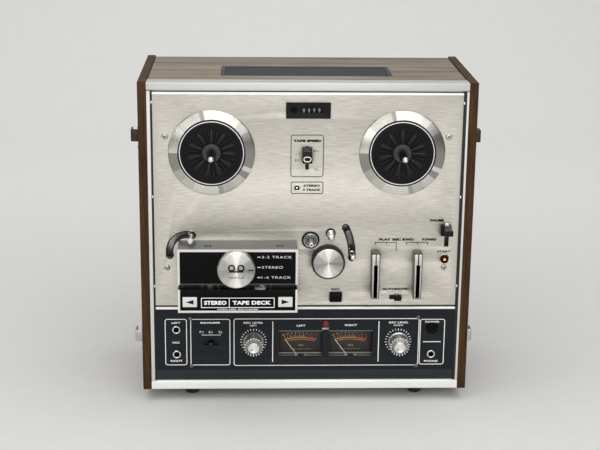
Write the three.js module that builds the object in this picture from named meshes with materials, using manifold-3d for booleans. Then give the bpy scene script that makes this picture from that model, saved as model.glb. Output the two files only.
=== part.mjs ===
// Open-reel tape deck in a wooden cabinet: brushed deck panel with two reel tables, a head cover,
// a capstan drive, level meters and the motors, flywheel and electronics behind the panels.
// Millimetres. +X is the viewer's right, +Y runs from the front panels to the back, +Z is up.
// Inside the cabinet group y = 0 is the plane of the front panels and z = 0 is the cabinet's
// lower edge. The exported group has its origin under the middle of the whole object's box.
import * as THREE from 'three';
import { mergeVertices } from 'three/addons/utils/BufferGeometryUtils.js';
import Module from 'manifold-3d';

const wasm = await Module();
wasm.setup();

// ---------------------------------------------------------------- driving dimensions
const CABINET_WIDTH = 407;
const CABINET_HEIGHT = 392;
const CABINET_DEPTH = 196;
const SIDE_THICKNESS = 10.3;
const FOOT_HEIGHT = 17;
const FOOT_RADIUS = 10.8;
const FOOT_X = 143;
const FOOT_INSET = 34;
const GAP = 0.3;
const RUNNING_GAP = 0.4;
const OVERCUT = 1;

const TRIM_DEPTH = 22;
const TRIM_WIDTH = 5.2;
const TRIM_TOP_BOTTOM = 381;
const TRIM_TOP_TOP = 391;
const TRIM_BOTTOM_TOP = 12;
const BOARD = 8;
const LID_DROP = 2;
const FLOOR_BOTTOM = 1;
const REAR_COVER_THICKNESS = 3;
const REAR_COVER_INSET = 3.3;

const PANEL_THICKNESS = 4;
const PANEL_HALF_WIDTH = 186;
const DECK_TOP = 379.5;
const DECK_BOTTOM = 112;
const AMPLIFIER_TOP = 109.6;
const AMPLIFIER_BOTTOM = 13.2;
const CHASSIS_FRONT = 22.5;
const CHASSIS_BACK = 25.5;
const CHASSIS_TOP = 376;
const DECK_SCREWS = [[-171.5, 326], [169.8, 326.2], [-171.3, 161.3], [162, 150]];

const REEL_LEFT_X = -115.8;
const REEL_RIGHT_X = 114;
const REEL_Z = 306;
const RING_RADIUS = 52.2;
const RING_HOLE_RADIUS = 40.3;
const RING_HEIGHT = 3.6;
const TABLE_RADIUS = 39;
const TABLE_FRONT = -4;
const SPINDLE_RADIUS = 3.9;
const SPINDLE_FRONT = -40;
const REEL_SHAFT_RADIUS = 4;
const REEL_SHAFT_BACK = 40;
const REEL_MOTOR_RADIUS = 42;
const REEL_MOTOR_BACK = 88;

const CAPSTAN_X = 4.7;
const CAPSTAN_Z = 196.5;
const CAPSTAN_RADIUS = 3;
const CAPSTAN_FRONT = -23;
const CAPSTAN_DISH_RADIUS = 10.4;
const BEARING_RADIUS = 7;
const FLYWHEEL_RADIUS = 45;
const FLYWHEEL_FRONT = 31;
const FLYWHEEL_BACK = 49;
const MOTOR_X = -70;
const MOTOR_Z = 180;
const CAPSTAN_MOTOR_RADIUS = 38;
const CAPSTAN_MOTOR_FRONT = 52;
const CAPSTAN_MOTOR_BACK = 120;
const PULLEY_RADIUS = 9;
const BELT_THICKNESS = 1.2;
const BELT_FRONT = 36;
const BELT_BACK = 44;

const PINCH_PIVOT_X = -8.1;
const PINCH_PIVOT_Z = 142.2;
const PINCH_X = 26.1;
const PINCH_Z = 171.5;
const PINCH_RADIUS = 20.5;
const PINCH_BACK = -3;
const PINCH_FRONT = -17.5;
const PINCH_ARM_FRONT = 5;
const PINCH_ARM_BACK = 8;
const PINCH_SLOT_WIDTH = 9;
const PINCH_SLOT_BEFORE = 2;
const PINCH_SLOT_AFTER = 14;

const LEFT_ARM_PIVOT_X = -146.5;
const LEFT_ARM_PIVOT_Z = 182;
const LEFT_ARM_LENGTH = 21.4;
const LEFT_ARM_REST = 76;
const LEFT_SLOT_START = 72;
const LEFT_SLOT_END = 194;
const RIGHT_ARM_PIVOT_X = -22;
const RIGHT_ARM_PIVOT_Z = 177.4;
const RIGHT_ARM_LENGTH = 77.8;
const RIGHT_ARM_REST = 1.8;
const RIGHT_SLOT_START = -2.7;
const RIGHT_SLOT_END = 26.8;
const ARM_SLOT_WIDTH = 7;
const ARM_FRONT = 10;
const ARM_BACK = 12.5;
const PIVOT_PIN = 2;
const PIVOT_BORE = PIVOT_PIN + RUNNING_GAP;
const PIVOT_SHOULDER = 4;

const COVER_LEFT = -156.5;
const COVER_RIGHT = -12;
const COVER_TOP = 196.4;
const COVER_BOTTOM = 116.8;
const COVER_FRONT = -41;
const TAPE_SLOT_BOTTOM = 145.8;
const TAPE_SLOT_TOP = 152.3;
const COVER_WALL = 2;
const HEAD_POSITIONS = [-118, -54];
const HEAD_FRONT = -29;
const HEAD_BOTTOM = 134;
const HEAD_TOP = 164;
const HEAD_HALF_WIDTH = 11;
const TRACK_KNOB_X = -86;
const TRACK_KNOB_Z = 174.5;
const TRACK_KNOB_RADIUS = 22.7;
const TRACK_KNOB_FRONT = -53;
const TRACK_SHAFT_RADIUS = 4;

const COUNTER_LEFT = -26.6;
const COUNTER_RIGHT = 26.8;
const COUNTER_BOTTOM = 349.4;
const COUNTER_TOP = 366.6;
const COUNTER_Z = 358;
const WINDOW_LEFT = -8.4;
const WINDOW_RIGHT = 16.4;
const WHEEL_RADIUS = 7.2;
const WHEEL_Y = 9.5;
const COUNTER_NECK_HALF = 7.4;
const COUNTER_NECK_WALL = 1.5;
const RESET_X = -17.2;
const RESET_RADIUS = 3;

const SPEED_X = -0.8;
const SPEED_STEM_HALF = 1.7;
const SPEED_SLOT_BOTTOM = 285.3;
const SPEED_SLOT_TOP = 314;
const PLAY_LEVER_X = 84.1;
const WIND_LEVER_X = 136;
const LEVER_PIVOT_Z = 134;
const LEVER_BOTTOM = 126;
const LEVER_TOP = 184.4;
const LEVER_FRONT = -19;
const LEVER_SHAFT_RADIUS = 5;
const AUTO_Z = 122.4;
const AUTO_STEM_HALF = 2.4;
const AUTO_SLOT_LEFT = 103.4;
const AUTO_SLOT_RIGHT = 118.6;
const PAUSE_X = 172;
const PAUSE_STEM_HALF = 2.2;
const PAUSE_SLOT_BOTTOM = 188;
const PAUSE_SLOT_TOP = 219;
const MASK_FRONT = PANEL_THICKNESS + 0.6;
const MASK_BACK = MASK_FRONT + 1.4;
const SLIDER_BACK = -0.4;
const START_X = 170.2;
const START_Z = 172.5;
const START_RADIUS = 4.8;
const REC_X = 36.8;
const REC_Z = 123;
const REC_WIDTH = 14.6;
const REC_HEIGHT = 12;

const METER_CENTRES = { left: -5.85, right: 56.9 };
const METER_WINDOW_WIDTH = 56.2;
const METER_WINDOW_BOTTOM = 42.9;
const METER_WINDOW_TOP = 78.6;
const NEEDLE_PIVOT_Z = 37.3;
const NEEDLE_LENGTH = 32.5;
const NEEDLE_REST = 36.5;
const LEVEL_KNOBS = { left: -65, right: 116.3 };
const LEVEL_KNOB_Z = 64.3;
const LEVEL_KNOB_RADIUS = 12.8;
const LEVEL_KNOB_FRONT = -25;
const LEVEL_SHAFT_RADIUS = 3;
const EQ_X = -118;
const EQ_Z = 62.2;
const EQ_SLOT_HALF = 9;
const EQ_STEM_HALF = 2.7;
const POWER_X = 158.6;
const POWER_Z = 81;
const POWER_RADIUS = 6.9;
const JACKS = [[-161.1, 80], [-160.8, 47.4], [158.2, 47]];
const JACK_RADIUS = 3.5;

const CATCH_PROTRUSION = 12;
const CATCH_PLATE = 3;
const CATCH_UPPER_Z = 318;
const CATCH_LOWER_Z = 57;
const CATCH_PLATE_FRONT = 24;
const CATCH_PLATE_BACK = 62;
const CATCH_PLATE_HALF = 17;
const CATCH_HOOK_HALF = 7.6;
const CATCH_HOOK_FRONT = 40;
const CATCH_HOOK_BACK = 57;
const CATCH_HOOK_THICKNESS = 2.5;

const VENT_HALF_WIDTH = 105;
const VENT_FRONT = 54;
const VENT_BACK = 125;

const INNER_HALF = CABINET_WIDTH / 2 - SIDE_THICKNESS;
const LID_TOP = CABINET_HEIGHT - LID_DROP;
const FINE = 48;
const ROUND = 32;
const SMALL = 14;

// ---------------------------------------------------------------- finishes
function finish(color, roughness, metalness) {
  return new THREE.MeshStandardMaterial({ color, roughness, metalness });
}

const WALNUT = finish(0x4d392a, 0.55, 0);
const BRUSHED = finish(0xc6c1b7, 0.4, 0.9);
const TRIM_SILVER = finish(0xd8d6d1, 0.35, 0.9);
const SPUN = finish(0xbdb8ae, 0.25, 1);
const CHROME = finish(0xd8d8d8, 0.1, 1);
const STEEL = finish(0x8c8f92, 0.4, 0.9);
const MOTOR_PAINT = finish(0x2c2f33, 0.5, 0.4);
const SLATE = finish(0x2b3138, 0.6, 0.2);
const BLACK_PLASTIC = finish(0x101010, 0.45, 0);
const BLACK_RUBBER = finish(0x121212, 0.8, 0);
const METER_BROWN = finish(0x2e2620, 0.5, 0);
const PALE_NEEDLE = finish(0xd9d3c6, 0.5, 0);
const DIGIT_WHITE = finish(0xe6e4de, 0.5, 0);
const BOARD_BROWN = finish(0x7a5a2c, 0.7, 0);

// ---------------------------------------------------------------- solids
function solidOf(geometry) {
  geometry.deleteAttribute('normal');
  geometry.deleteAttribute('uv');
  const welded = mergeVertices(geometry, 1e-4);
  const vertProperties = new Float32Array(welded.attributes.position.array);
  const triVerts = new Uint32Array(welded.index.array);
  return new wasm.Manifold(new wasm.Mesh({ numProp: 3, vertProperties, triVerts }));
}

function geometryOf(solid) {
  const mesh = solid.getMesh();
  const geometry = new THREE.BufferGeometry();
  geometry.setAttribute('position', new THREE.BufferAttribute(mesh.vertProperties, 3));
  geometry.setIndex(new THREE.BufferAttribute(mesh.triVerts, 1));
  geometry.computeVertexNormals();
  return geometry;
}

function block(x0, x1, y0, y1, z0, z1) {
  const geometry = new THREE.BoxGeometry(x1 - x0, y1 - y0, z1 - z0);
  geometry.translate((x0 + x1) / 2, (y0 + y1) / 2, (z0 + z1) / 2);
  return solidOf(geometry);
}

// A round bar along Y.
function bar(x, z, radius, y0, y1, sides = SMALL, frontRadius = radius) {
  const geometry = new THREE.CylinderGeometry(radius, frontRadius, y1 - y0, sides);
  geometry.translate(x, (y0 + y1) / 2, z);
  return solidOf(geometry);
}

// A flat piece with an outline in the XZ plane, between two depths.
function slab(shape, y0, y1, curveSegments = 8) {
  const geometry = new THREE.ExtrudeGeometry(shape, {
    depth: y1 - y0,
    bevelEnabled: false,
    curveSegments,
  });
  geometry.rotateX(Math.PI / 2);
  geometry.translate(0, y1, 0);
  return solidOf(geometry);
}

// A prism along X with its outline in the YZ plane.
function rail(points, x0, x1) {
  const shape = new THREE.Shape(points.map(([y, z]) => new THREE.Vector2(y, z)));
  const geometry = new THREE.ExtrudeGeometry(shape, { depth: x1 - x0, bevelEnabled: false });
  const along = new THREE.Matrix4().makeBasis(
    new THREE.Vector3(0, 1, 0),
    new THREE.Vector3(0, 0, 1),
    new THREE.Vector3(1, 0, 0),
  );
  geometry.applyMatrix4(along);
  geometry.translate(x0, 0, 0);
  return solidOf(geometry);
}

// A turned piece about the Y axis at (x, z). The profile runs from front to back as
// [radius, y] pairs, starting and ending on the axis.
function turned(x, z, profile, sides = ROUND) {
  const points = profile.map(([radius, y]) => new THREE.Vector2(radius, y));
  const geometry = new THREE.LatheGeometry(points, sides);
  geometry.translate(x, 0, z);
  return solidOf(geometry);
}

// A turned ring about the Y axis. Its profile is a closed loop of [radius, y] pairs.
function ring(x, z, loop, sides = ROUND) {
  return turned(x, z, [...loop, loop[0]], sides);
}

function joined(...solids) {
  return solids.reduce((whole, solid) => whole.add(solid));
}

function cut(solid, ...tools) {
  return tools.reduce((rest, tool) => rest.subtract(tool), solid);
}

function polar(x, z, radius, degrees) {
  const angle = THREE.MathUtils.degToRad(degrees);
  return [x + radius * Math.cos(angle), z + radius * Math.sin(angle)];
}

// A slot that follows an arc and has round ends.
function arcSlot(x, z, radius, width, fromDegrees, toDegrees) {
  const from = THREE.MathUtils.degToRad(fromDegrees);
  const to = THREE.MathUtils.degToRad(toDegrees);
  const half = width / 2;
  const [endX, endZ] = polar(x, z, radius, toDegrees);
  const [startX, startZ] = polar(x, z, radius, fromDegrees);
  const shape = new THREE.Shape();
  shape.absarc(x, z, radius + half, from, to, false);
  shape.absarc(endX, endZ, half, to, to + Math.PI, false);
  shape.absarc(x, z, radius - half, to, from, true);
  shape.absarc(startX, startZ, half, from + Math.PI, from + 2 * Math.PI, false);
  return shape;
}

// A straight arm with round ends.
function link(x0, z0, x1, z1, width, y0, y1) {
  const direction = Math.atan2(z1 - z0, x1 - x0);
  const quarter = Math.PI / 2;
  const shape = new THREE.Shape();
  shape.absarc(x0, z0, width / 2, direction + quarter, direction + 3 * quarter, false);
  shape.absarc(x1, z1, width / 2, direction - quarter, direction + quarter, false);
  return slab(shape, y0, y1, 6);
}

const deck = new THREE.Group();
const cabinet = new THREE.Group();
cabinet.position.set(0, -(CABINET_DEPTH + TRACK_KNOB_FRONT) / 2, FOOT_HEIGHT);
deck.add(cabinet);

function place(name, solid, material) {
  const mesh = new THREE.Mesh(geometryOf(solid), material);
  mesh.name = name;
  cabinet.add(mesh);
}

// ---------------------------------------------------------------- cabinet
function buildCabinet() {
  const half = CABINET_WIDTH / 2;
  const boardEnd = INNER_HALF - GAP;
  const boardFront = TRIM_DEPTH + GAP;
  const back = CABINET_DEPTH - GAP;
  place('side_panel_left', block(-half, -INNER_HALF, 0, CABINET_DEPTH, 0, CABINET_HEIGHT), WALNUT);
  place('side_panel_right', block(INNER_HALF, half, 0, CABINET_DEPTH, 0, CABINET_HEIGHT), WALNUT);

  const vent = VENT_HALF_WIDTH + GAP;
  const top = cut(
    block(-boardEnd, boardEnd, boardFront, back, LID_TOP - BOARD, LID_TOP),
    block(-vent, vent, VENT_FRONT - GAP, VENT_BACK + GAP, LID_TOP - 2 * BOARD, LID_TOP + OVERCUT),
  );
  place('top_panel', top, WALNUT);
  place('bottom_panel', block(-boardEnd, boardEnd, boardFront, back, FLOOR_BOTTOM,
    FLOOR_BOTTOM + BOARD), WALNUT);
  place('vent_grille', ventGrille(), SLATE);

  const trimTop = block(-boardEnd, boardEnd, 0, TRIM_DEPTH, TRIM_TOP_BOTTOM, TRIM_TOP_TOP);
  const trimBottom = block(-boardEnd, boardEnd, 0, TRIM_DEPTH, GAP, TRIM_BOTTOM_TOP);
  place('trim_top', trimTop, TRIM_SILVER);
  place('trim_bottom', trimBottom, TRIM_SILVER);
  for (const [name, side] of [['trim_left', -1], ['trim_right', 1]]) {
    const edges = [side * boardEnd, side * (boardEnd - TRIM_WIDTH)].sort((a, b) => a - b);
    const upright = block(...edges, 0, TRIM_DEPTH, TRIM_BOTTOM_TOP + GAP, TRIM_TOP_BOTTOM - GAP);
    place(name, upright, TRIM_SILVER);
  }

  for (const [row, y] of [['front', FOOT_INSET], ['back', CABINET_DEPTH - FOOT_INSET]]) {
    for (const [column, x] of [['left', -FOOT_X], ['right', FOOT_X]]) {
      place(`foot_${row}_${column}`, foot(x, y), BLACK_RUBBER);
    }
  }
}

// A louvred plate that drops into the opening in the lid.
function ventGrille() {
  const slots = 7;
  const slotWidth = 5;
  const pitch = (VENT_BACK - VENT_FRONT) / (slots + 1);
  const margin = 8;
  const thickness = 4;
  const reach = VENT_HALF_WIDTH - margin;
  let grille = block(-VENT_HALF_WIDTH, VENT_HALF_WIDTH, VENT_FRONT, VENT_BACK,
    LID_TOP - thickness, LID_TOP - GAP);
  for (let index = 1; index <= slots; index += 1) {
    const y = VENT_FRONT + index * pitch;
    const slot = block(-reach, reach, y - slotWidth / 2, y + slotWidth / 2,
      LID_TOP - 2 * thickness, LID_TOP + OVERCUT);
    grille = cut(grille, slot);
  }
  return grille;
}

function foot(x, y) {
  const soleRadius = 6.5;
  const edgeRadius = 0.87 * FOOT_RADIUS;
  const edgeHeight = 0.85 * FOOT_HEIGHT;
  const shoulderHeight = 0.45 * FOOT_HEIGHT;
  const top = FLOOR_BOTTOM - GAP;
  const sides = 18;
  const points = [
    new THREE.Vector2(0, -FOOT_HEIGHT),
    new THREE.Vector2(soleRadius, -FOOT_HEIGHT),
    new THREE.Vector2(edgeRadius, -edgeHeight),
    new THREE.Vector2(FOOT_RADIUS, -shoulderHeight),
    new THREE.Vector2(FOOT_RADIUS, top),
    new THREE.Vector2(0, top),
  ];
  const geometry = new THREE.LatheGeometry(points, sides);
  geometry.rotateX(Math.PI / 2);
  geometry.translate(x, y, 0);
  return solidOf(geometry);
}

// ---------------------------------------------------------------- rear cover
function buildRearCover() {
  const back = CABINET_DEPTH - REAR_COVER_INSET;
  const front = back - REAR_COVER_THICKNESS;
  const half = INNER_HALF - GAP;
  const inlet = { x0: 118, x1: 148, z0: 28, z1: 50, depth: 16, wall: 2 };
  const cup = block(inlet.x0 - inlet.wall, inlet.x1 + inlet.wall, back - inlet.depth,
    (front + back) / 2, inlet.z0 - inlet.wall, inlet.z1 + inlet.wall);
  const plate = block(-half, half, front, back, FLOOR_BOTTOM + BOARD + GAP, LID_TOP - BOARD - GAP);
  const socket = block(inlet.x0, inlet.x1, back - inlet.depth + inlet.wall, back + OVERCUT,
    inlet.z0, inlet.z1);
  place('rear_cover', cut(joined(plate, cup), socket), SLATE);
}

// ---------------------------------------------------------------- front panels
function buildDeckPanel() {
  const through = [-OVERCUT, PANEL_THICKNESS + OVERCUT];
  let panel = block(-PANEL_HALF_WIDTH, PANEL_HALF_WIDTH, 0, PANEL_THICKNESS, DECK_BOTTOM, DECK_TOP);
  for (const x of [REEL_LEFT_X, REEL_RIGHT_X]) {
    panel = cut(panel, bar(x, REEL_Z, RING_HOLE_RADIUS, ...through, ROUND));
  }
  for (const x of [PLAY_LEVER_X, WIND_LEVER_X]) {
    panel = cut(panel, bar(x, LEVER_PIVOT_Z, LEVER_SHAFT_RADIUS + RUNNING_GAP, ...through));
  }
  const leftSlot = arcSlot(LEFT_ARM_PIVOT_X, LEFT_ARM_PIVOT_Z, LEFT_ARM_LENGTH, ARM_SLOT_WIDTH,
    LEFT_SLOT_START, LEFT_SLOT_END);
  const rightSlot = arcSlot(RIGHT_ARM_PIVOT_X, RIGHT_ARM_PIVOT_Z, RIGHT_ARM_LENGTH, ARM_SLOT_WIDTH,
    RIGHT_SLOT_START, RIGHT_SLOT_END);
  const pinchSlot = arcSlot(PINCH_PIVOT_X, PINCH_PIVOT_Z, pinchArmLength(), PINCH_SLOT_WIDTH,
    pinchRestAngle() - PINCH_SLOT_BEFORE, pinchRestAngle() + PINCH_SLOT_AFTER);
  const neckEdge = COUNTER_NECK_WALL + RUNNING_GAP;
  const neckHalf = COUNTER_NECK_HALF + RUNNING_GAP;
  const speedHalf = SPEED_STEM_HALF + RUNNING_GAP;
  const autoHalf = AUTO_STEM_HALF + RUNNING_GAP;
  const pauseHalf = PAUSE_STEM_HALF + RUNNING_GAP;
  const recHalfWidth = REC_WIDTH / 2 + GAP;
  const recHalfHeight = REC_HEIGHT / 2 + GAP;
  panel = cut(
    panel,
    slab(leftSlot, ...through),
    slab(rightSlot, ...through),
    slab(pinchSlot, ...through, 5),
    bar(CAPSTAN_X, CAPSTAN_Z, CAPSTAN_DISH_RADIUS + RUNNING_GAP, ...through, 24),
    block(WINDOW_LEFT - neckEdge, WINDOW_RIGHT + neckEdge, ...through,
      COUNTER_Z - neckHalf, COUNTER_Z + neckHalf),
    bar(RESET_X, COUNTER_Z, RESET_RADIUS + RUNNING_GAP, ...through),
    block(SPEED_X - speedHalf, SPEED_X + speedHalf, ...through, SPEED_SLOT_BOTTOM, SPEED_SLOT_TOP),
    block(AUTO_SLOT_LEFT, AUTO_SLOT_RIGHT, ...through, AUTO_Z - autoHalf, AUTO_Z + autoHalf),
    block(PAUSE_X - pauseHalf, PAUSE_X + pauseHalf, ...through, PAUSE_SLOT_BOTTOM, PAUSE_SLOT_TOP),
    bar(START_X, START_Z, START_RADIUS + GAP, ...through),
    block(REC_X - recHalfWidth, REC_X + recHalfWidth, ...through,
      REC_Z - recHalfHeight, REC_Z + recHalfHeight),
  );
  place('deck_panel', panel, BRUSHED);
}

function buildAmplifierPanel() {
  const through = [-OVERCUT, PANEL_THICKNESS + OVERCUT];
  const windowHalf = METER_WINDOW_WIDTH / 2;
  const holeSides = 12;
  let panel = block(-PANEL_HALF_WIDTH, PANEL_HALF_WIDTH, 0, PANEL_THICKNESS,
    AMPLIFIER_BOTTOM, AMPLIFIER_TOP);
  for (const x of Object.values(METER_CENTRES)) {
    const window = block(x - windowHalf, x + windowHalf, ...through,
      METER_WINDOW_BOTTOM, METER_WINDOW_TOP);
    panel = cut(panel, window);
  }
  for (const [x, z] of JACKS) {
    panel = cut(panel, bar(x, z, JACK_RADIUS, ...through, holeSides));
  }
  for (const x of Object.values(LEVEL_KNOBS)) {
    panel = cut(panel, bar(x, LEVEL_KNOB_Z, LEVEL_SHAFT_RADIUS + 2 * GAP, ...through, holeSides));
  }
  const eqHalf = EQ_STEM_HALF + RUNNING_GAP;
  panel = cut(
    panel,
    block(EQ_X - EQ_SLOT_HALF, EQ_X + EQ_SLOT_HALF, ...through, EQ_Z - eqHalf, EQ_Z + eqHalf),
    bar(POWER_X, POWER_Z, POWER_RADIUS + RUNNING_GAP, ...through),
  );
  place('amplifier_panel', panel, SLATE);
}

// ---------------------------------------------------------------- chassis
function buildChassis() {
  const half = INNER_HALF - GAP;
  const pillarRadius = 4.5;
  const motorHoleRadius = 9;
  const sides = 12;
  const root = CHASSIS_FRONT + OVERCUT;
  let plate = block(-half, half, CHASSIS_FRONT, CHASSIS_BACK, DECK_BOTTOM, CHASSIS_TOP);
  for (const [x, z] of DECK_SCREWS) {
    plate = joined(plate, bar(x, z, pillarRadius, PANEL_THICKNESS + GAP, root, sides));
  }
  const pivots = [
    [LEFT_ARM_PIVOT_X, LEFT_ARM_PIVOT_Z, ARM_FRONT, ARM_BACK],
    [RIGHT_ARM_PIVOT_X, RIGHT_ARM_PIVOT_Z, ARM_FRONT, ARM_BACK],
    [PINCH_PIVOT_X, PINCH_PIVOT_Z, PINCH_ARM_FRONT, PINCH_ARM_BACK],
  ];
  for (const [x, z, armFront, armBack] of pivots) {
    const shoulder = bar(x, z, PIVOT_SHOULDER, armBack + GAP, root, sides);
    const pin = bar(x, z, PIVOT_PIN, armFront - GAP, root, sides);
    plate = joined(plate, shoulder, pin);
  }
  const through = [CHASSIS_FRONT - OVERCUT, CHASSIS_BACK + OVERCUT];
  for (const x of [REEL_LEFT_X, REEL_RIGHT_X]) {
    plate = cut(plate, bar(x, REEL_Z, motorHoleRadius, ...through));
  }
  plate = cut(plate, bar(CAPSTAN_X, CAPSTAN_Z, BEARING_RADIUS + RUNNING_GAP, ...through, 20));
  place('chassis_plate', plate, STEEL);
}

// ---------------------------------------------------------------- reels
function buildReels() {
  for (const [side, x] of [['left', REEL_LEFT_X], ['right', REEL_RIGHT_X]]) {
    place(`reel_ring_${side}`, reelRing(x), SPUN);
    place(`reel_table_${side}`, reelTable(x), BLACK_PLASTIC);
    place(`reel_motor_${side}`, reelMotor(x), MOTOR_PAINT);
  }
}

// A dished trim ring that slopes towards the reel table.
function reelRing(x) {
  const back = -GAP;
  const lip = 1;
  const loop = [
    [RING_HOLE_RADIUS, back],
    [RING_HOLE_RADIUS, -RING_HEIGHT],
    [RING_RADIUS - lip, -lip - GAP],
    [RING_RADIUS, -lip],
    [RING_RADIUS, back],
  ];
  return ring(x, REEL_Z, loop, FINE);
}

// The turntable, its three-finned spindle and its drive shaft turn as one.
function reelTable(x) {
  const hubRadius = 12;
  const bossRadius = 8;
  const bossBack = 14;
  const rim = TABLE_FRONT + 1;
  const table = turned(x, REEL_Z, [
    [0, SPINDLE_FRONT],
    [SPINDLE_RADIUS - 1.4, SPINDLE_FRONT],
    [SPINDLE_RADIUS, SPINDLE_FRONT + 3],
    [SPINDLE_RADIUS, rim],
    [hubRadius - 1, rim],
    [hubRadius, TABLE_FRONT],
    [TABLE_RADIUS - 1, TABLE_FRONT],
    [TABLE_RADIUS, rim],
    [TABLE_RADIUS, PANEL_THICKNESS],
    [bossRadius + 2, PANEL_THICKNESS + 2],
    [bossRadius, bossBack],
    [REEL_SHAFT_RADIUS, bossBack],
    [REEL_SHAFT_RADIUS, REEL_SHAFT_BACK],
    [0, REEL_SHAFT_BACK],
  ], 36);
  const finReach = 5.6;
  const finLength = 26;
  const finWidth = 2.2;
  const finCentre = SPINDLE_FRONT + 20;
  let spindle = table;
  for (const turn of [90, 210, 330]) {
    const fin = new THREE.BoxGeometry(finReach, finLength, finWidth);
    fin.translate(finReach / 2, 0, 0);
    fin.rotateY(-THREE.MathUtils.degToRad(turn));
    fin.translate(x, finCentre, REEL_Z);
    spindle = joined(spindle, solidOf(fin));
  }
  return spindle;
}

function reelMotor(x) {
  const front = CHASSIS_BACK + GAP;
  const boreRadius = REEL_SHAFT_RADIUS + 0.8;
  const boreBack = REEL_SHAFT_BACK + 4;
  const rounding = 5;
  return turned(x, REEL_Z, [
    [0, boreBack],
    [boreRadius, boreBack],
    [boreRadius, front],
    [REEL_MOTOR_RADIUS - rounding, front],
    [REEL_MOTOR_RADIUS, front + rounding],
    [REEL_MOTOR_RADIUS, REEL_MOTOR_BACK - rounding],
    [REEL_MOTOR_RADIUS - rounding, REEL_MOTOR_BACK],
    [0, REEL_MOTOR_BACK],
  ]);
}

// ---------------------------------------------------------------- capstan drive
function buildCapstanDrive() {
  place('capstan_bearing', capstanBearing(), CHROME);
  place('capstan_flywheel', capstanFlywheel(), STEEL);
  place('capstan_motor', capstanMotor(), MOTOR_PAINT);
  place('motor_pulley', motorPulley(), STEEL);

  const inner = beltOutline(GAP);
  const outer = beltOutline(GAP + BELT_THICKNESS);
  const curve = 14;
  const belt = cut(
    slab(outer, BELT_FRONT, BELT_BACK, curve),
    slab(inner, BELT_FRONT - OVERCUT, BELT_BACK + OVERCUT, curve),
  );
  place('drive_belt', belt, BLACK_RUBBER);
}

// A flanged sleeve with a dished front, held in the chassis plate.
function capstanBearing() {
  const dishFront = -2.5;
  const dishBack = 6;
  const dishFloor = 1.5;
  const sleeveBack = 28;
  const overlap = 1;
  const sides = 20;
  return cut(
    joined(
      bar(CAPSTAN_X, CAPSTAN_Z, CAPSTAN_DISH_RADIUS, dishFront, dishBack, 32),
      bar(CAPSTAN_X, CAPSTAN_Z, BEARING_RADIUS, dishBack - overlap, sleeveBack, sides),
    ),
    bar(CAPSTAN_X, CAPSTAN_Z, CAPSTAN_RADIUS + RUNNING_GAP, dishFront - OVERCUT,
      sleeveBack + OVERCUT, sides),
    bar(CAPSTAN_X, CAPSTAN_Z, BEARING_RADIUS, dishFront - OVERCUT, dishFloor, sides,
      CAPSTAN_DISH_RADIUS),
  );
}

// The capstan shaft and the flywheel pressed onto it, with a recess in the flywheel's face.
function capstanFlywheel() {
  const hubRadius = 9;
  const hubFront = FLYWHEEL_FRONT - 1;
  const recessRadius = FLYWHEEL_RADIUS - 9;
  const recessBack = FLYWHEEL_FRONT + 5;
  const shaftBack = FLYWHEEL_BACK + 6;
  return turned(CAPSTAN_X, CAPSTAN_Z, [
    [0, CAPSTAN_FRONT],
    [CAPSTAN_RADIUS - 0.5, CAPSTAN_FRONT],
    [CAPSTAN_RADIUS, CAPSTAN_FRONT + 1],
    [CAPSTAN_RADIUS, hubFront],
    [hubRadius, hubFront],
    [hubRadius, recessBack],
    [recessRadius, recessBack],
    [recessRadius, FLYWHEEL_FRONT],
    [FLYWHEEL_RADIUS, FLYWHEEL_FRONT],
    [FLYWHEEL_RADIUS, FLYWHEEL_BACK],
    [CAPSTAN_RADIUS, FLYWHEEL_BACK],
    [CAPSTAN_RADIUS, shaftBack],
    [0, shaftBack],
  ]);
}

function capstanMotor() {
  const boreRadius = 3.6;
  const boreBack = CAPSTAN_MOTOR_FRONT + 16;
  const rounding = 4;
  return turned(MOTOR_X, MOTOR_Z, [
    [0, boreBack],
    [boreRadius, boreBack],
    [boreRadius, CAPSTAN_MOTOR_FRONT],
    [CAPSTAN_MOTOR_RADIUS - rounding, CAPSTAN_MOTOR_FRONT],
    [CAPSTAN_MOTOR_RADIUS, CAPSTAN_MOTOR_FRONT + rounding],
    [CAPSTAN_MOTOR_RADIUS, CAPSTAN_MOTOR_BACK - rounding],
    [CAPSTAN_MOTOR_RADIUS - rounding, CAPSTAN_MOTOR_BACK],
    [0, CAPSTAN_MOTOR_BACK],
  ]);
}

function motorPulley() {
  const shaftRadius = 3;
  const front = FLYWHEEL_FRONT + 3;
  const back = FLYWHEEL_BACK - 2;
  const shaftBack = CAPSTAN_MOTOR_FRONT + 13;
  return turned(MOTOR_X, MOTOR_Z, [
    [0, front],
    [PULLEY_RADIUS, front],
    [PULLEY_RADIUS, back],
    [shaftRadius, back],
    [shaftRadius, shaftBack],
    [0, shaftBack],
  ], 24);
}

// The line of a belt around the flywheel and the motor pulley, offset outwards.
function beltOutline(offset) {
  const large = FLYWHEEL_RADIUS + offset;
  const small = PULLEY_RADIUS + offset;
  const runX = MOTOR_X - CAPSTAN_X;
  const runZ = MOTOR_Z - CAPSTAN_Z;
  const heading = Math.atan2(runZ, runX);
  const wrap = Math.acos((large - small) / Math.hypot(runX, runZ));
  const shape = new THREE.Shape();
  shape.absarc(CAPSTAN_X, CAPSTAN_Z, large, heading + wrap, heading - wrap + 2 * Math.PI, false);
  shape.absarc(MOTOR_X, MOTOR_Z, small, heading - wrap, heading + wrap, false);
  return shape;
}

function pinchArmLength() {
  return Math.hypot(PINCH_X - PINCH_PIVOT_X, PINCH_Z - PINCH_PIVOT_Z);
}

function pinchRestAngle() {
  return THREE.MathUtils.radToDeg(Math.atan2(PINCH_Z - PINCH_PIVOT_Z, PINCH_X - PINCH_PIVOT_X));
}

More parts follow.
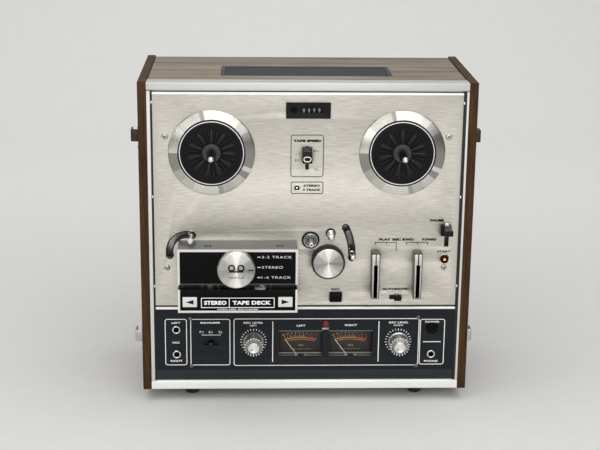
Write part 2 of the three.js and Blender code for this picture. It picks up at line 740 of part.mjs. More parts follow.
// The pinch roller turns on a pin that its arm carries through the deck panel.
function buildPinchRoller() {
  const axleRadius = 3;
  const axleFront = -14;
  const armWidth = 10;
  const arm = cut(
    joined(
      link(PINCH_PIVOT_X, PINCH_PIVOT_Z, PINCH_X, PINCH_Z, armWidth, PINCH_ARM_FRONT,
        PINCH_ARM_BACK),
      bar(PINCH_X, PINCH_Z, axleRadius, axleFront, PINCH_ARM_FRONT + 1),
    ),
    bar(PINCH_PIVOT_X, PINCH_PIVOT_Z, PIVOT_BORE, PINCH_ARM_FRONT - OVERCUT,
      PINCH_ARM_BACK + OVERCUT, 12),
  );
  place('pinch_arm', arm, STEEL);

  const bore = axleRadius + RUNNING_GAP;
  const boreEnd = axleFront - RUNNING_GAP;
  const roller = turned(PINCH_X, PINCH_Z, [
    [0, PINCH_FRONT],
    [PINCH_RADIUS - 2, PINCH_FRONT],
    [PINCH_RADIUS, PINCH_FRONT + 1.5],
    [PINCH_RADIUS, PINCH_BACK],
    [bore, PINCH_BACK],
    [bore, boreEnd],
    [0, boreEnd],
  ]);
  place('pinch_roller', roller, BLACK_RUBBER);
}

// ---------------------------------------------------------------- tension arms
function buildTensionArms() {
  place('tension_arm_left', leftTensionArm(), CHROME);
  place('tension_arm_right', rightTensionArm(), CHROME);
}

// A tape guide pin with a wider head, standing on an arm behind the panel.
function guidePin(x, z, radius, front) {
  const headRadius = 3;
  const headLength = 5;
  const shoulder = front + headLength;
  return joined(
    bar(x, z, radius, shoulder - 1, ARM_FRONT + 1),
    bar(x, z, headRadius, front, shoulder),
  );
}

function pivotBore(x, z) {
  return bar(x, z, PIVOT_BORE, ARM_FRONT - OVERCUT, ARM_BACK + OVERCUT, 12);
}

function leftTensionArm() {
  const [x, z] = polar(LEFT_ARM_PIVOT_X, LEFT_ARM_PIVOT_Z, LEFT_ARM_LENGTH, LEFT_ARM_REST);
  return cut(
    joined(
      link(LEFT_ARM_PIVOT_X, LEFT_ARM_PIVOT_Z, x, z, 8, ARM_FRONT, ARM_BACK),
      guidePin(x, z, 2.2, -31),
    ),
    pivotBore(LEFT_ARM_PIVOT_X, LEFT_ARM_PIVOT_Z),
  );
}

// A bent arm whose curved flag closes the slot above the pin. The bend passes under the pinch
// roller's pin, and a curved web beside the slot carries the flag.
function rightTensionArm() {
  const pivot = [RIGHT_ARM_PIVOT_X, RIGHT_ARM_PIVOT_Z];
  const elbow = [18, 150];
  const webRadius = 69.5;
  const webSweep = 20;
  const flagWidth = 12;
  const flagStart = RIGHT_ARM_REST + 10.7;
  const flagSweep = 4.5;
  const pin = polar(...pivot, RIGHT_ARM_LENGTH, RIGHT_ARM_REST);
  const webFoot = polar(...pivot, webRadius, RIGHT_ARM_REST);
  const web = arcSlot(...pivot, webRadius, 6, RIGHT_ARM_REST, RIGHT_ARM_REST + webSweep);
  const flag = arcSlot(...pivot, RIGHT_ARM_LENGTH, flagWidth, flagStart, flagStart + flagSweep);
  const curve = 5;
  return cut(
    joined(
      link(...pivot, ...elbow, 8, ARM_FRONT, ARM_BACK),
      link(...elbow, ...pin, 7, ARM_FRONT, ARM_BACK),
      link(...webFoot, ...pin, 6, ARM_FRONT, ARM_BACK),
      slab(web, ARM_FRONT, ARM_BACK, curve),
      slab(flag, ARM_FRONT, ARM_BACK, curve),
      guidePin(...pin, 2.4, -22),
    ),
    pivotBore(...pivot),
  );
}

// ---------------------------------------------------------------- heads and their cover
function buildHeads() {
  const back = -RUNNING_GAP;
  const plateFront = back - 3;
  const plateMargin = 6;
  const faceRadius = 9;
  let heads = block(COVER_LEFT + plateMargin, COVER_RIGHT - plateMargin, plateFront, back, 123, 190);
  for (const x of HEAD_POSITIONS) {
    const shell = block(x - HEAD_HALF_WIDTH, x + HEAD_HALF_WIDTH, HEAD_FRONT + 6, plateFront + 0.4,
      HEAD_BOTTOM, HEAD_TOP);
    heads = joined(heads, shell, upright(x, HEAD_FRONT + faceRadius, faceRadius));
  }
  place('head_block', heads, STEEL);

  const inside = [
    COVER_LEFT + COVER_WALL,
    COVER_RIGHT - COVER_WALL,
    COVER_FRONT + COVER_WALL,
    OVERCUT,
  ];
  const upper = cut(
    block(COVER_LEFT, COVER_RIGHT, COVER_FRONT, back, TAPE_SLOT_TOP, COVER_TOP),
    block(...inside, TAPE_SLOT_TOP - OVERCUT, COVER_TOP - COVER_WALL),
    bar(TRACK_KNOB_X, TRACK_KNOB_Z, TRACK_SHAFT_RADIUS + 2 * GAP, COVER_FRONT - OVERCUT,
      COVER_FRONT + COVER_WALL + OVERCUT),
  );
  place('head_cover_upper', upper, BLACK_PLASTIC);
  const lower = cut(
    block(COVER_LEFT, COVER_RIGHT, COVER_FRONT, back, COVER_BOTTOM, TAPE_SLOT_BOTTOM),
    block(...inside, COVER_BOTTOM + COVER_WALL, TAPE_SLOT_BOTTOM + OVERCUT),
  );
  place('head_cover_lower', lower, BLACK_PLASTIC);

  const knobBack = COVER_FRONT - 1;
  const shaftBack = COVER_FRONT + 6;
  const knob = turned(TRACK_KNOB_X, TRACK_KNOB_Z, [
    [0, TRACK_KNOB_FRONT],
    [TRACK_KNOB_RADIUS - 1, TRACK_KNOB_FRONT],
    [TRACK_KNOB_RADIUS, TRACK_KNOB_FRONT + 1],
    [TRACK_KNOB_RADIUS, knobBack],
    [TRACK_SHAFT_RADIUS, knobBack],
    [TRACK_SHAFT_RADIUS, shaftBack],
    [0, shaftBack],
  ], 36);
  place('track_knob', knob, SPUN);
}

// The rounded face of a tape head: a round bar along Z.
function upright(x, y, radius) {
  const geometry = new THREE.CylinderGeometry(radius, radius, HEAD_TOP - HEAD_BOTTOM, 20);
  geometry.rotateX(Math.PI / 2);
  geometry.translate(x, y, (HEAD_BOTTOM + HEAD_TOP) / 2);
  return solidOf(geometry);
}

// ---------------------------------------------------------------- tape counter
function buildCounter() {
  const plateFront = -1.8;
  const plateBack = -GAP;
  const neckBack = 6;
  const bodyHalf = 9.8;
  const bodyBack = 20;
  const windowHalf = 2.7;
  const left = WINDOW_LEFT - COUNTER_NECK_WALL;
  const right = WINDOW_RIGHT + COUNTER_NECK_WALL;
  const body = joined(
    block(COUNTER_LEFT, COUNTER_RIGHT, plateFront, plateBack, COUNTER_BOTTOM, COUNTER_TOP),
    block(left, right, plateBack - 0.5, neckBack,
      COUNTER_Z - COUNTER_NECK_HALF, COUNTER_Z + COUNTER_NECK_HALF),
    block(left, right, neckBack - 1, bodyBack, COUNTER_Z - bodyHalf, COUNTER_Z + bodyHalf),
  );
  const neckInside = COUNTER_NECK_HALF - 1;
  const bodyInside = bodyHalf - 1.8;
  const housing = cut(
    body,
    block(WINDOW_LEFT, WINDOW_RIGHT, plateFront - OVERCUT, 3,
      COUNTER_Z - windowHalf, COUNTER_Z + windowHalf),
    block(WINDOW_LEFT, WINDOW_RIGHT, 1.5, neckBack, COUNTER_Z - neckInside, COUNTER_Z + neckInside),
    block(WINDOW_LEFT, WINDOW_RIGHT, neckBack - 0.5, bodyBack + OVERCUT,
      COUNTER_Z - bodyInside, COUNTER_Z + bodyInside),
    bar(RESET_X, COUNTER_Z, RESET_RADIUS + RUNNING_GAP, plateFront - OVERCUT, plateBack + OVERCUT),
  );
  place('counter_housing', housing, BLACK_PLASTIC);

  const wheelsWidth = WINDOW_RIGHT - WINDOW_LEFT - 2 * GAP;
  const wheels = new THREE.CylinderGeometry(WHEEL_RADIUS, WHEEL_RADIUS, wheelsWidth, 20);
  wheels.rotateZ(Math.PI / 2);
  wheels.translate((WINDOW_LEFT + WINDOW_RIGHT) / 2, WHEEL_Y, COUNTER_Z);
  place('counter_wheels', solidOf(wheels), DIGIT_WHITE);

  const resetFront = -4.4;
  const resetBack = 8;
  const reset = joined(
    bar(RESET_X, COUNTER_Z, RESET_RADIUS, resetFront, resetBack),
    bar(RESET_X, COUNTER_Z, RESET_RADIUS + 1.5, resetBack - 3, resetBack - 1),
  );
  place('counter_reset_button', reset, BLACK_PLASTIC);
}

// ---------------------------------------------------------------- deck controls
function buildDeckControls() {
  for (const [name, x] of [['play_lever', PLAY_LEVER_X], ['wind_lever', WIND_LEVER_X]]) {
    place(name, lever(x), CHROME);
  }
  place('speed_knob', speedKnob(), BLACK_PLASTIC);
  place('auto_stop_knob', autoStopKnob(), BLACK_PLASTIC);
  place('pause_knob', pauseKnob(), BLACK_PLASTIC);
  place('start_button', startButton(), BLACK_PLASTIC);
  place('rec_button', recButton(), BLACK_PLASTIC);
}

// Each sliding knob has a stem through the panel's slot and a mask that covers the slot behind.
function speedKnob() {
  const grip = [
    [SLIDER_BACK, 294],
    [-10.5, 295.2],
    [-10.5, 305.6],
    [-1.8, 313.2],
    [SLIDER_BACK, 313.2],
  ];
  const gripHalf = 6;
  const maskHalf = 5;
  return joined(
    rail(grip, SPEED_X - gripHalf, SPEED_X + gripHalf),
    block(SPEED_X - SPEED_STEM_HALF, SPEED_X + SPEED_STEM_HALF, SLIDER_BACK - 1, MASK_BACK, 302, 308),
    block(SPEED_X - maskHalf, SPEED_X + maskHalf, MASK_FRONT, MASK_BACK, 294, 330),
  );
}

function autoStopKnob() {
  const left = 109;
  const right = 118.3;
  const front = -7;
  const gripHalf = 3.1;
  const maskHalf = 5;
  return joined(
    block(left, right, front, SLIDER_BACK, AUTO_Z - gripHalf, AUTO_Z + gripHalf),
    block(left + 1, right - 1, SLIDER_BACK - 1, MASK_BACK,
      AUTO_Z - AUTO_STEM_HALF, AUTO_Z + AUTO_STEM_HALF),
    block(left - 8, right + 2.7, MASK_FRONT, MASK_BACK, AUTO_Z - maskHalf, AUTO_Z + maskHalf),
  );
}

function pauseKnob() {
  const gripHalf = 5.4;
  const gripBottom = 206.4;
  const top = 213;
  const maskHalf = 5;
  return joined(
    block(PAUSE_X - gripHalf, PAUSE_X + gripHalf, -20, -2, gripBottom, top),
    block(PAUSE_X - gripHalf, PAUSE_X + gripHalf, -6, SLIDER_BACK, gripBottom - 1.9, top),
    block(PAUSE_X - 8.4, PAUSE_X - 4, -8, SLIDER_BACK, gripBottom - 2.9, top + 4.5),
    block(PAUSE_X - PAUSE_STEM_HALF, PAUSE_X + PAUSE_STEM_HALF, SLIDER_BACK - 1, MASK_BACK,
      gripBottom - 1.4, top),
    block(PAUSE_X - maskHalf, PAUSE_X + maskHalf, MASK_FRONT, MASK_BACK,
      gripBottom - 4.4, top + 19),
  );
}

// Each push button has a flange behind the panel that stops it from falling out.
function startButton() {
  const flangeRadius = START_RADIUS + 1.7;
  const back = 8;
  return joined(
    bar(START_X, START_Z, START_RADIUS, -5, back, 20),
    bar(START_X, START_Z, flangeRadius, back - 1.1, back, 20),
  );
}

function recButton() {
  const halfWidth = REC_WIDTH / 2;
  const halfHeight = REC_HEIGHT / 2;
  const flange = 1.5;
  const back = 8;
  return joined(
    block(REC_X - halfWidth, REC_X + halfWidth, -4, back, REC_Z - halfHeight, REC_Z + halfHeight),
    block(REC_X - halfWidth - flange, REC_X + halfWidth + flange, PANEL_THICKNESS + GAP, back,
      REC_Z - halfHeight - flange, REC_Z + halfHeight + flange),
  );
}

// A tapered finger bar that swings about the shaft behind its lower end.
function lever(x) {
  const halfTop = 5.6;
  const halfBottom = 4.7;
  const rounding = 1.6;
  const back = -1.2;
  const shaftBack = 14;
  const outline = new THREE.Shape([
    new THREE.Vector2(x - halfBottom, LEVER_BOTTOM),
    new THREE.Vector2(x + halfBottom, LEVER_BOTTOM),
    new THREE.Vector2(x + halfTop, LEVER_TOP - rounding),
    new THREE.Vector2(x + halfTop - rounding, LEVER_TOP),
    new THREE.Vector2(x - halfTop + rounding, LEVER_TOP),
    new THREE.Vector2(x - halfTop, LEVER_TOP - rounding),
  ]);
  const grooveHalf = 0.8;
  const grooveDepth = 3;
  const grooveLength = 12;
  return cut(
    joined(
      slab(outline, LEVER_FRONT, back),
      bar(x, LEVER_PIVOT_Z, LEVER_SHAFT_RADIUS, back - 1, shaftBack),
    ),
    block(x - grooveHalf, x + grooveHalf, LEVER_FRONT - OVERCUT, LEVER_FRONT + grooveDepth,
      LEVER_TOP - grooveLength, LEVER_TOP + OVERCUT),
  );
}

// ---------------------------------------------------------------- amplifier controls
function buildAmplifierControls() {
  place('eq_knob', eqKnob(), BLACK_PLASTIC);
  place('power_button', powerButton(), BLACK_PLASTIC);
  for (const [side, x] of Object.entries(LEVEL_KNOBS)) {
    place(`level_knob_${side}`, levelKnob(x), SPUN);
  }
  for (const [side, x] of Object.entries(METER_CENTRES)) {
    place(`vu_meter_${side}`, meterCase(x), METER_BROWN);
    place(`vu_needle_${side}`, needle(x), PALE_NEEDLE);
  }
}

function eqKnob() {
  const gripHalf = 3.4;
  const front = -5;
  const maskHalfWidth = 15;
  const maskHalfHeight = 5;
  return joined(
    block(EQ_X - gripHalf, EQ_X + gripHalf, front, MASK_BACK,
      EQ_Z - EQ_STEM_HALF, EQ_Z + EQ_STEM_HALF),
    block(EQ_X - maskHalfWidth, EQ_X + maskHalfWidth, MASK_FRONT, MASK_BACK,
      EQ_Z - maskHalfHeight, EQ_Z + maskHalfHeight),
  );
}

function powerButton() {
  const flangeRadius = POWER_RADIUS + 1.7;
  const flangeFront = PANEL_THICKNESS + GAP;
  return joined(
    bar(POWER_X, POWER_Z, POWER_RADIUS, -3.5, 12, 24),
    bar(POWER_X, POWER_Z, flangeRadius, flangeFront, flangeFront + 2.7, 24),
  );
}

// A conical knob with a flat face and a short skirt, on its shaft.
function levelKnob(x) {
  const back = -1;
  const faceRadius = 7.4;
  const shaftBack = 14;
  return turned(x, LEVEL_KNOB_Z, [
    [0, LEVEL_KNOB_FRONT],
    [faceRadius - 1, LEVEL_KNOB_FRONT],
    [faceRadius, LEVEL_KNOB_FRONT + 1],
    [LEVEL_KNOB_RADIUS - 1, back - 5],
    [LEVEL_KNOB_RADIUS, back - 4],
    [LEVEL_KNOB_RADIUS, back],
    [LEVEL_SHAFT_RADIUS, back],
    [LEVEL_SHAFT_RADIUS, shaftBack],
    [0, shaftBack],
  ], 24);
}

// The case sits behind the panel and is open at the front, where its scale shows.
function meterCase(x) {
  const front = PANEL_THICKNESS + GAP;
  const back = 30;
  const faceDepth = 11;
  const half = 29;
  const bottom = 33;
  const top = 82;
  const wall = 1.4;
  return cut(
    block(x - half, x + half, front, back, bottom, top),
    block(x - half + wall, x + half - wall, front - OVERCUT, faceDepth, bottom + wall, top - wall),
  );
}

// A thin pointer with a round boss at its pivot.
function needle(x) {
  const front = 7;
  const back = 8;
  const bossRadius = 2.4;
  const width = 0.9;
  const [tipX, tipZ] = polar(x, NEEDLE_PIVOT_Z, NEEDLE_LENGTH, 90 + NEEDLE_REST);
  return joined(
    bar(x, NEEDLE_PIVOT_Z, bossRadius, front, back + 1),
    link(x, NEEDLE_PIVOT_Z, tipX, tipZ, width, front, back),
  );
}

// ---------------------------------------------------------------- lid catches
function buildCatches() {
  const half = CABINET_WIDTH / 2;
  const rows = [['upper', CATCH_UPPER_Z], ['lower', CATCH_LOWER_Z]];
  for (const [row, z] of rows) {
    for (const [column, side] of [['left', -1], ['right', 1]]) {
      place(`catch_${row}_${column}`, sideCatch(side, side * half, z), CHROME);
    }
  }
}

// A screwed plate with a hook that stands off it for a lid's latch.
function sideCatch(side, wall, z) {
  const span = (from, to) => [wall + side * from, wall + side * to].sort((a, b) => a - b);
  const hook = [z - CATCH_HOOK_HALF, z + CATCH_HOOK_HALF];
  return joined(
    block(...span(GAP, CATCH_PLATE), CATCH_PLATE_FRONT, CATCH_PLATE_BACK,
      z - CATCH_PLATE_HALF, z + CATCH_PLATE_HALF),
    block(...span(GAP + 1, CATCH_PROTRUSION), CATCH_HOOK_FRONT,
      CATCH_HOOK_FRONT + CATCH_PLATE, ...hook),
    block(...span(CATCH_PROTRUSION - CATCH_HOOK_THICKNESS, CATCH_PROTRUSION), CATCH_HOOK_FRONT,
      CATCH_HOOK_BACK, ...hook),
  );
}

// ---------------------------------------------------------------- electronics
function buildElectronics() {
  place('power_transformer', transformer(), MOTOR_PAINT);
  place('circuit_board', circuitBoard(), BOARD_BROWN);
}

// A laminated core on a base plate, with its windings bulging at the front and back.
function transformer() {
  const x = -130;
  const y = 123;
  const floor = FLOOR_BOTTOM + BOARD + GAP;
  const base = 8;
  const core = 62;
  const around = (halfWidth, halfDepth, bottom, top) => block(
    x - halfWidth, x + halfWidth, y - halfDepth, y + halfDepth, floor + bottom, floor + top,
  );
  return joined(
    around(38, 27, 0, base),
    around(30, 23, base - 1, core),
    around(22, 35, base * 2, core - base),
  );
}

// An upright board with a row of components on its back.
function circuitBoard() {
  const front = 76;
  const thickness = 1.8;
  const floor = FLOOR_BOTTOM + BOARD + GAP;
  const count = 7;
  const firstX = -50;
  const pitch = 34;
  const halfWidth = 7;
  const shortReach = 16;
  const longReach = 24;
  let board = block(-70, 180, front, front + thickness, floor, 104);
  for (let index = 0; index < count; index += 1) {
    const x = firstX + index * pitch;
    const reach = index % 2 ? shortReach : longReach;
    const component = block(x - halfWidth, x + halfWidth, front + 1, front + reach, 40, 62);
    board = joined(board, component);
  }
  return board;
}

buildCabinet();
buildRearCover();
buildDeckPanel();
buildAmplifierPanel();
buildChassis();
buildReels();
buildCapstanDrive();
buildPinchRoller();
buildTensionArms();
buildHeads();
buildCounter();
buildDeckControls();
buildAmplifierControls();
buildCatches();
buildElectronics();

export default deck;
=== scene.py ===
import math

import bmesh
import bpy
from mathutils import Matrix, Vector


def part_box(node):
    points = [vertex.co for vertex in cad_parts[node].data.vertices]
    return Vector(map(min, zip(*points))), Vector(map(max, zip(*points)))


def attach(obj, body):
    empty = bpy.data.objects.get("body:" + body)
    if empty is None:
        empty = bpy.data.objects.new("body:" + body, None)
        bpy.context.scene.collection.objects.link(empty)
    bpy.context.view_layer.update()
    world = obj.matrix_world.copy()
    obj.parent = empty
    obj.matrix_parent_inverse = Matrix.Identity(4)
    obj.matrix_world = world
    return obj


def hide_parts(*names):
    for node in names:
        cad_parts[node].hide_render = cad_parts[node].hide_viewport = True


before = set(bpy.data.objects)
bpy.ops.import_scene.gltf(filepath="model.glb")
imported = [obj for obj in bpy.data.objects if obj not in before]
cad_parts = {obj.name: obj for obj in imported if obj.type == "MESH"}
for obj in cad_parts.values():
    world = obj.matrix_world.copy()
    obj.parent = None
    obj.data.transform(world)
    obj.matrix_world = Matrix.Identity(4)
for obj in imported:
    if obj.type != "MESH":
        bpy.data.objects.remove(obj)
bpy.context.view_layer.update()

# The looks of an open-reel tape deck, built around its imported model. Sizes are millimetres on the
# cabinet's own axes: x to the viewer's right, y = 0 on the front panels and growing to the back,
# z = 0 on the cabinet's lower edge. at() turns them into the frame's metres.
MM = 0.001
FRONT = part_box("side_panel_left")[0].y
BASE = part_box("side_panel_left")[0].z
PRINT_Y = -0.06
SIDES = (("left", -1), ("right", 1))

# Centres on the front panels, as x and z.
REEL_X = {"left": -115.8, "right": 114.0}
REEL_Z = 306.0
CAPSTAN = (4.7, 196.5)
GUIDE_POST = (29.2, 205.5)
PINCH_PIVOT = (-8.1, 142.2)
PINCH_ROLLER = (26.1, 171.5)
LEFT_ARM_PIVOT = (-146.5, 182.0)
LEFT_ARM_REACH = 21.4
LEFT_SLOT_ENDS = (72, 194)
RIGHT_ARM_PIVOT = (-22.0, 177.4)
RIGHT_ARM_REACH = 77.8
RIGHT_SLOT_ENDS = (-2.7, 26.8)
TRACK_KNOB = (-86, 174.5)
COUNTER_RESET = (-17.2, 358)
COUNTER_Z = 358
COUNTER_AXIS_Y = 9.5
LEVER_X = {"play_lever": 84.1, "wind_lever": 136.0}
LEVER_PIVOT_Z = 134
START_BUTTON = (170.2, 172.5)
POWER_BUTTON = (158.6, 81)
RECORD_LAMP = (25.2, 87.5)
SOCKETS = ((-161.1, 80), (-160.8, 47.4), (158.2, 47))
LEVEL_KNOB_X = {"left": -65.0, "right": 116.3}
LEVEL_KNOB_Z = 64.3
METER_X = {"left": -5.85, "right": 56.9}
METER_WINDOW = (42.9, 78.6)


def at(x, y, z):
    return Vector((x * MM, FRONT + y * MM, BASE + z * MM))


def node_box(name):
    """A CAD node's low and high corner, in millimetres on the cabinet's axes."""
    low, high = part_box(name)
    return [Vector((v.x / MM, (v.y - FRONT) / MM, (v.z - BASE) / MM)) for v in (low, high)]


def placed(x, y, z, degrees, axis):
    """A turn about an axis, then a move to a point."""
    return Matrix.Translation((x, y, z)) @ Matrix.Rotation(math.radians(degrees), 4, axis)


def about(x, y, z, degrees, axis="Y"):
    """A turn about an axis through a point."""
    return (Matrix.Translation((x, y, z)) @ Matrix.Rotation(math.radians(degrees), 4, axis)
            @ Matrix.Translation((-x, -y, -z)))


def stand(name, data):
    """A new object in the scene."""
    made = bpy.data.objects.new(name, data)
    bpy.context.scene.collection.objects.link(made)
    return made


# ---------------------------------------------------------------- materials
def set_stops(ramp, stops):
    """Fills a colour ramp node. stops are (position, (r, g, b)) pairs."""
    elements = ramp.color_ramp.elements
    while len(elements) < len(stops):
        elements.new(0.5)
    for element, (position, colour) in zip(elements, stops):
        element.position = position
        element.color = (*colour, 1.0)


class Finish:
    """A Principled material whose colour, roughness and bump come from noise in the object's space."""

    def __init__(self, name, roughness=0.5, metallic=0.0, **sockets):
        self.material = bpy.data.materials.new(name)
        self.material.use_nodes = True
        self.tree = self.material.node_tree
        self.shader = self.tree.nodes["Principled BSDF"]
        self.shader.inputs["Roughness"].default_value = roughness
        self.shader.inputs["Metallic"].default_value = metallic
        for socket, value in sockets.items():
            self.shader.inputs[socket.replace("_", " ")].default_value = value
        self.place = self.node("ShaderNodeTexCoord").outputs["Object"]

    def node(self, kind, **settings):
        made = self.tree.nodes.new(kind)
        for key, value in settings.items():
            setattr(made, key, value)
        return made

    def join(self, start, end):
        self.tree.links.new(start, end)

    def stretched(self, scale):
        mapping = self.node("ShaderNodeMapping")
        mapping.inputs["Scale"].default_value = scale
        self.join(self.place, mapping.inputs["Vector"])
        return mapping.outputs["Vector"]

    def noise(self, scale, detail=4.0, roughness=0.55, distortion=0.0):
        """scale is repeats per metre, one number or one for each axis."""
        vector = self.stretched(scale if isinstance(scale, tuple) else (scale,) * 3)
        made = self.node("ShaderNodeTexNoise")
        for socket, value in (("Scale", 1.0), ("Detail", detail), ("Roughness", roughness),
                              ("Distortion", distortion)):
            made.inputs[socket].default_value = value
        self.join(vector, made.inputs["Vector"])
        return made.outputs["Fac"]

    def line_noise(self, value, scale):
        made = self.node("ShaderNodeTexNoise", noise_dimensions="1D")
        made.inputs["Scale"].default_value = scale
        made.inputs["Detail"].default_value = 3.0
        self.join(value, made.inputs["W"])
        return made.outputs["Fac"]

    def radius(self):
        """The distance from the object's Y axis."""
        length = self.node("ShaderNodeVectorMath", operation="LENGTH")
        self.join(self.stretched((1.0, 0.0, 1.0)), length.inputs[0])
        return length.outputs["Value"]

    def angle(self):
        """The angle about the object's Y axis, from -pi to pi."""
        parts = self.node("ShaderNodeSeparateXYZ")
        self.join(self.place, parts.inputs[0])
        made = self.node("ShaderNodeMath", operation="ARCTAN2")
        self.join(parts.outputs["Z"], made.inputs[0])
        self.join(parts.outputs["X"], made.inputs[1])
        return made.outputs[0]

    def blend(self, first, second, share=0.5):
        made = self.node("ShaderNodeMix", data_type="FLOAT")
        made.inputs[0].default_value = share
        self.join(first, made.inputs[2])
        self.join(second, made.inputs[3])
        return made.outputs[0]

    def remap(self, value, start, end, low=0.0, high=1.0):
        made = self.node("ShaderNodeMapRange")
        for socket, number in (("From Min", start), ("From Max", end), ("To Min", low), ("To Max", high)):
            made.inputs[socket].default_value = number
        self.join(value, made.inputs["Value"])
        return made.outputs["Result"]

    def ramp(self, fac, stops):
        made = self.node("ShaderNodeValToRGB")
        set_stops(made, stops)
        self.join(fac, made.inputs["Fac"])
        return made.outputs["Color"]

    def colours(self, fac, *stops):
        self.join(self.ramp(fac, stops), self.shader.inputs["Base Color"])

    def painted_reflection_sectors(self, groove, colour, spread, *stops):
        """Painted reflections: wedges of reflected light painted into the colour of turned metal. stops are
        (degrees, level) pairs, the angle running from -180 to 180 about the object's Y axis, and groove
        noise varies each wedge."""
        share = self.remap(self.angle(), -math.pi, math.pi)
        ends = [degrees for degrees, _ in stops[1:]] + [180.0]
        painted_reflection_wedges = self.ramp(share, [((edge + 180.0) / 360.0, tinted(colour, level))
                                   for (degrees, level), end in zip(stops, ends)
                                   for edge in (degrees + spread, end - spread)])
        line = self.node("ShaderNodeMix", data_type="RGBA", blend_type="MULTIPLY")
        line.inputs[0].default_value = 0.35
        self.join(painted_reflection_wedges, line.inputs[6])
        self.join(self.remap(groove, 0.35, 0.65, 0.7), line.inputs[7])
        self.join(line.outputs[2], self.shader.inputs["Base Color"])

    def rough(self, fac, low, high):
        self.join(self.remap(fac, 0.3, 0.7, low, high), self.shader.inputs["Roughness"])

    def bump(self, fac, depth, strength=1.0):
        """depth is in millimetres."""
        made = self.node("ShaderNodeBump")
        made.inputs["Strength"].default_value = strength
        made.inputs["Distance"].default_value = depth * MM
        self.join(fac, made.inputs["Height"])
        self.join(made.outputs["Normal"], self.shader.inputs["Normal"])

    def tangent(self, axis):
        made = self.node("ShaderNodeTangent", direction_type="RADIAL", axis=axis)
        self.join(made.outputs["Tangent"], self.shader.inputs["Tangent"])


def tinted(colour, amount):
    return tuple(max(0.0, channel * amount) for channel in colour)


def wood(name, light, dark, grain):
    """grain is the axis that the fibres run along: 0, 1 or 2."""
    made = Finish(name, 0.5, Specular_IOR_Level=0.10)

    def along(across, lengthwise):
        return tuple(lengthwise if axis == grain else across for axis in range(3))

    fibres = made.noise(along(420.0, 14.0), 5.0, 0.6, 0.3)
    cathedral = made.noise(along(55.0, 4.0), 3.0, 0.5, 1.2)
    pore = made.noise(along(1500.0, 60.0), 2.0, 0.7)
    mixed = made.blend(made.blend(fibres, cathedral, 0.55), pore, 0.28)
    middle = tuple((a + b) / 2 for a, b in zip(light, dark))
    made.colours(mixed, (0.40, dark), (0.5, middle), (0.60, light))
    made.rough(pore, 0.42, 0.62)
    made.bump(made.blend(fibres, pore, 0.6), 0.12, 0.5)
    return made.material


def brushed(name, colour, low=0.26, high=0.44, contrast=0.10, anisotropic=0.55, metallic=1.0):
    """Sheet metal brushed along X."""
    made = Finish(name, 0.35, metallic, Anisotropic=anisotropic, Anisotropic_Rotation=0.25)
    hair = made.noise((55.0, 55.0, 2600.0), 2.0, 0.6)
    streak = made.noise((60.0, 60.0, 1150.0), 2.0, 0.6)
    cloud = made.noise(9.0, 2.0)
    lines = made.blend(hair, streak, 0.5)
    mixed = made.blend(lines, cloud, 0.08)
    made.colours(mixed, (0.38, tinted(colour, 1 - contrast)), (0.60, tinted(colour, 1 + contrast)))
    made.rough(lines, low, high)
    made.bump(lines, 0.01, 0.3)
    made.tangent("Z")
    return made.material


def spun(name, colour, low=0.26, high=0.36, contrast=0.10, anisotropic=0.9, painted_reflection_wedges=(), spread=0.4):
    """Metal turned on a lathe about the object's own Y axis. Given wedges, it has wedges of reflected light
    painted into its colour.
    """
    made = Finish(name, 0.25, 1.0, Anisotropic=anisotropic, Anisotropic_Rotation=0.25)
    groove = made.line_noise(made.radius(), 1500.0)
    mixed = made.blend(groove, made.line_noise(made.angle(), 2.6), 0.35)
    if painted_reflection_wedges:
        made.painted_reflection_sectors(groove, colour, spread, *painted_reflection_wedges)
    else:
        made.colours(mixed, (0.34, tinted(colour, 1 - contrast)), (0.66, tinted(colour, 1 + contrast)))
    made.rough(mixed, low, high)
    made.bump(groove, 0.003, 0.3)
    made.tangent("Y")
    return made.material


def metal(name, colour, low=0.06, high=0.2, contrast=0.05):
    """Polished or satin metal with faint wear."""
    made = Finish(name, 0.15, 1.0)
    cloud = made.noise(70.0, 5.0)
    scratch = made.noise((2600.0, 160.0, 900.0), 3.0, 0.7)
    mixed = made.blend(cloud, scratch, 0.5)
    made.colours(cloud, (0.3, tinted(colour, 1 - contrast)), (0.7, tinted(colour, 1 + contrast)))
    made.rough(mixed, low, high)
    made.bump(scratch, 0.006, 0.3)
    return made.material


def moulded(name, colour, low=0.35, high=0.5, grain=0.03, contrast=0.18, **sockets):
    """Moulded plastic, rubber or paint with a fine grain."""
    made = Finish(name, 0.4, 0.0, **sockets)
    cloud = made.noise(45.0, 4.0)
    speck = made.noise(2100.0, 2.0, 0.6)
    mixed = made.blend(cloud, speck, 0.4)
    made.colours(mixed, (0.32, tinted(colour, 1 - contrast)), (0.68, tinted(colour, 1 + contrast)))
    made.rough(mixed, low, high)
    made.bump(speck, grain, 0.5)
    return made.material


def glowing(name, colour, strength):
    made = Finish(name, 0.4)
    made.shader.inputs["Emission Color"].default_value = (*colour, 1.0)
    made.shader.inputs["Emission Strength"].default_value = strength
    made.colours(made.noise(900.0), (0.3, tinted(colour, 0.8)), (0.7, colour))
    return made.material


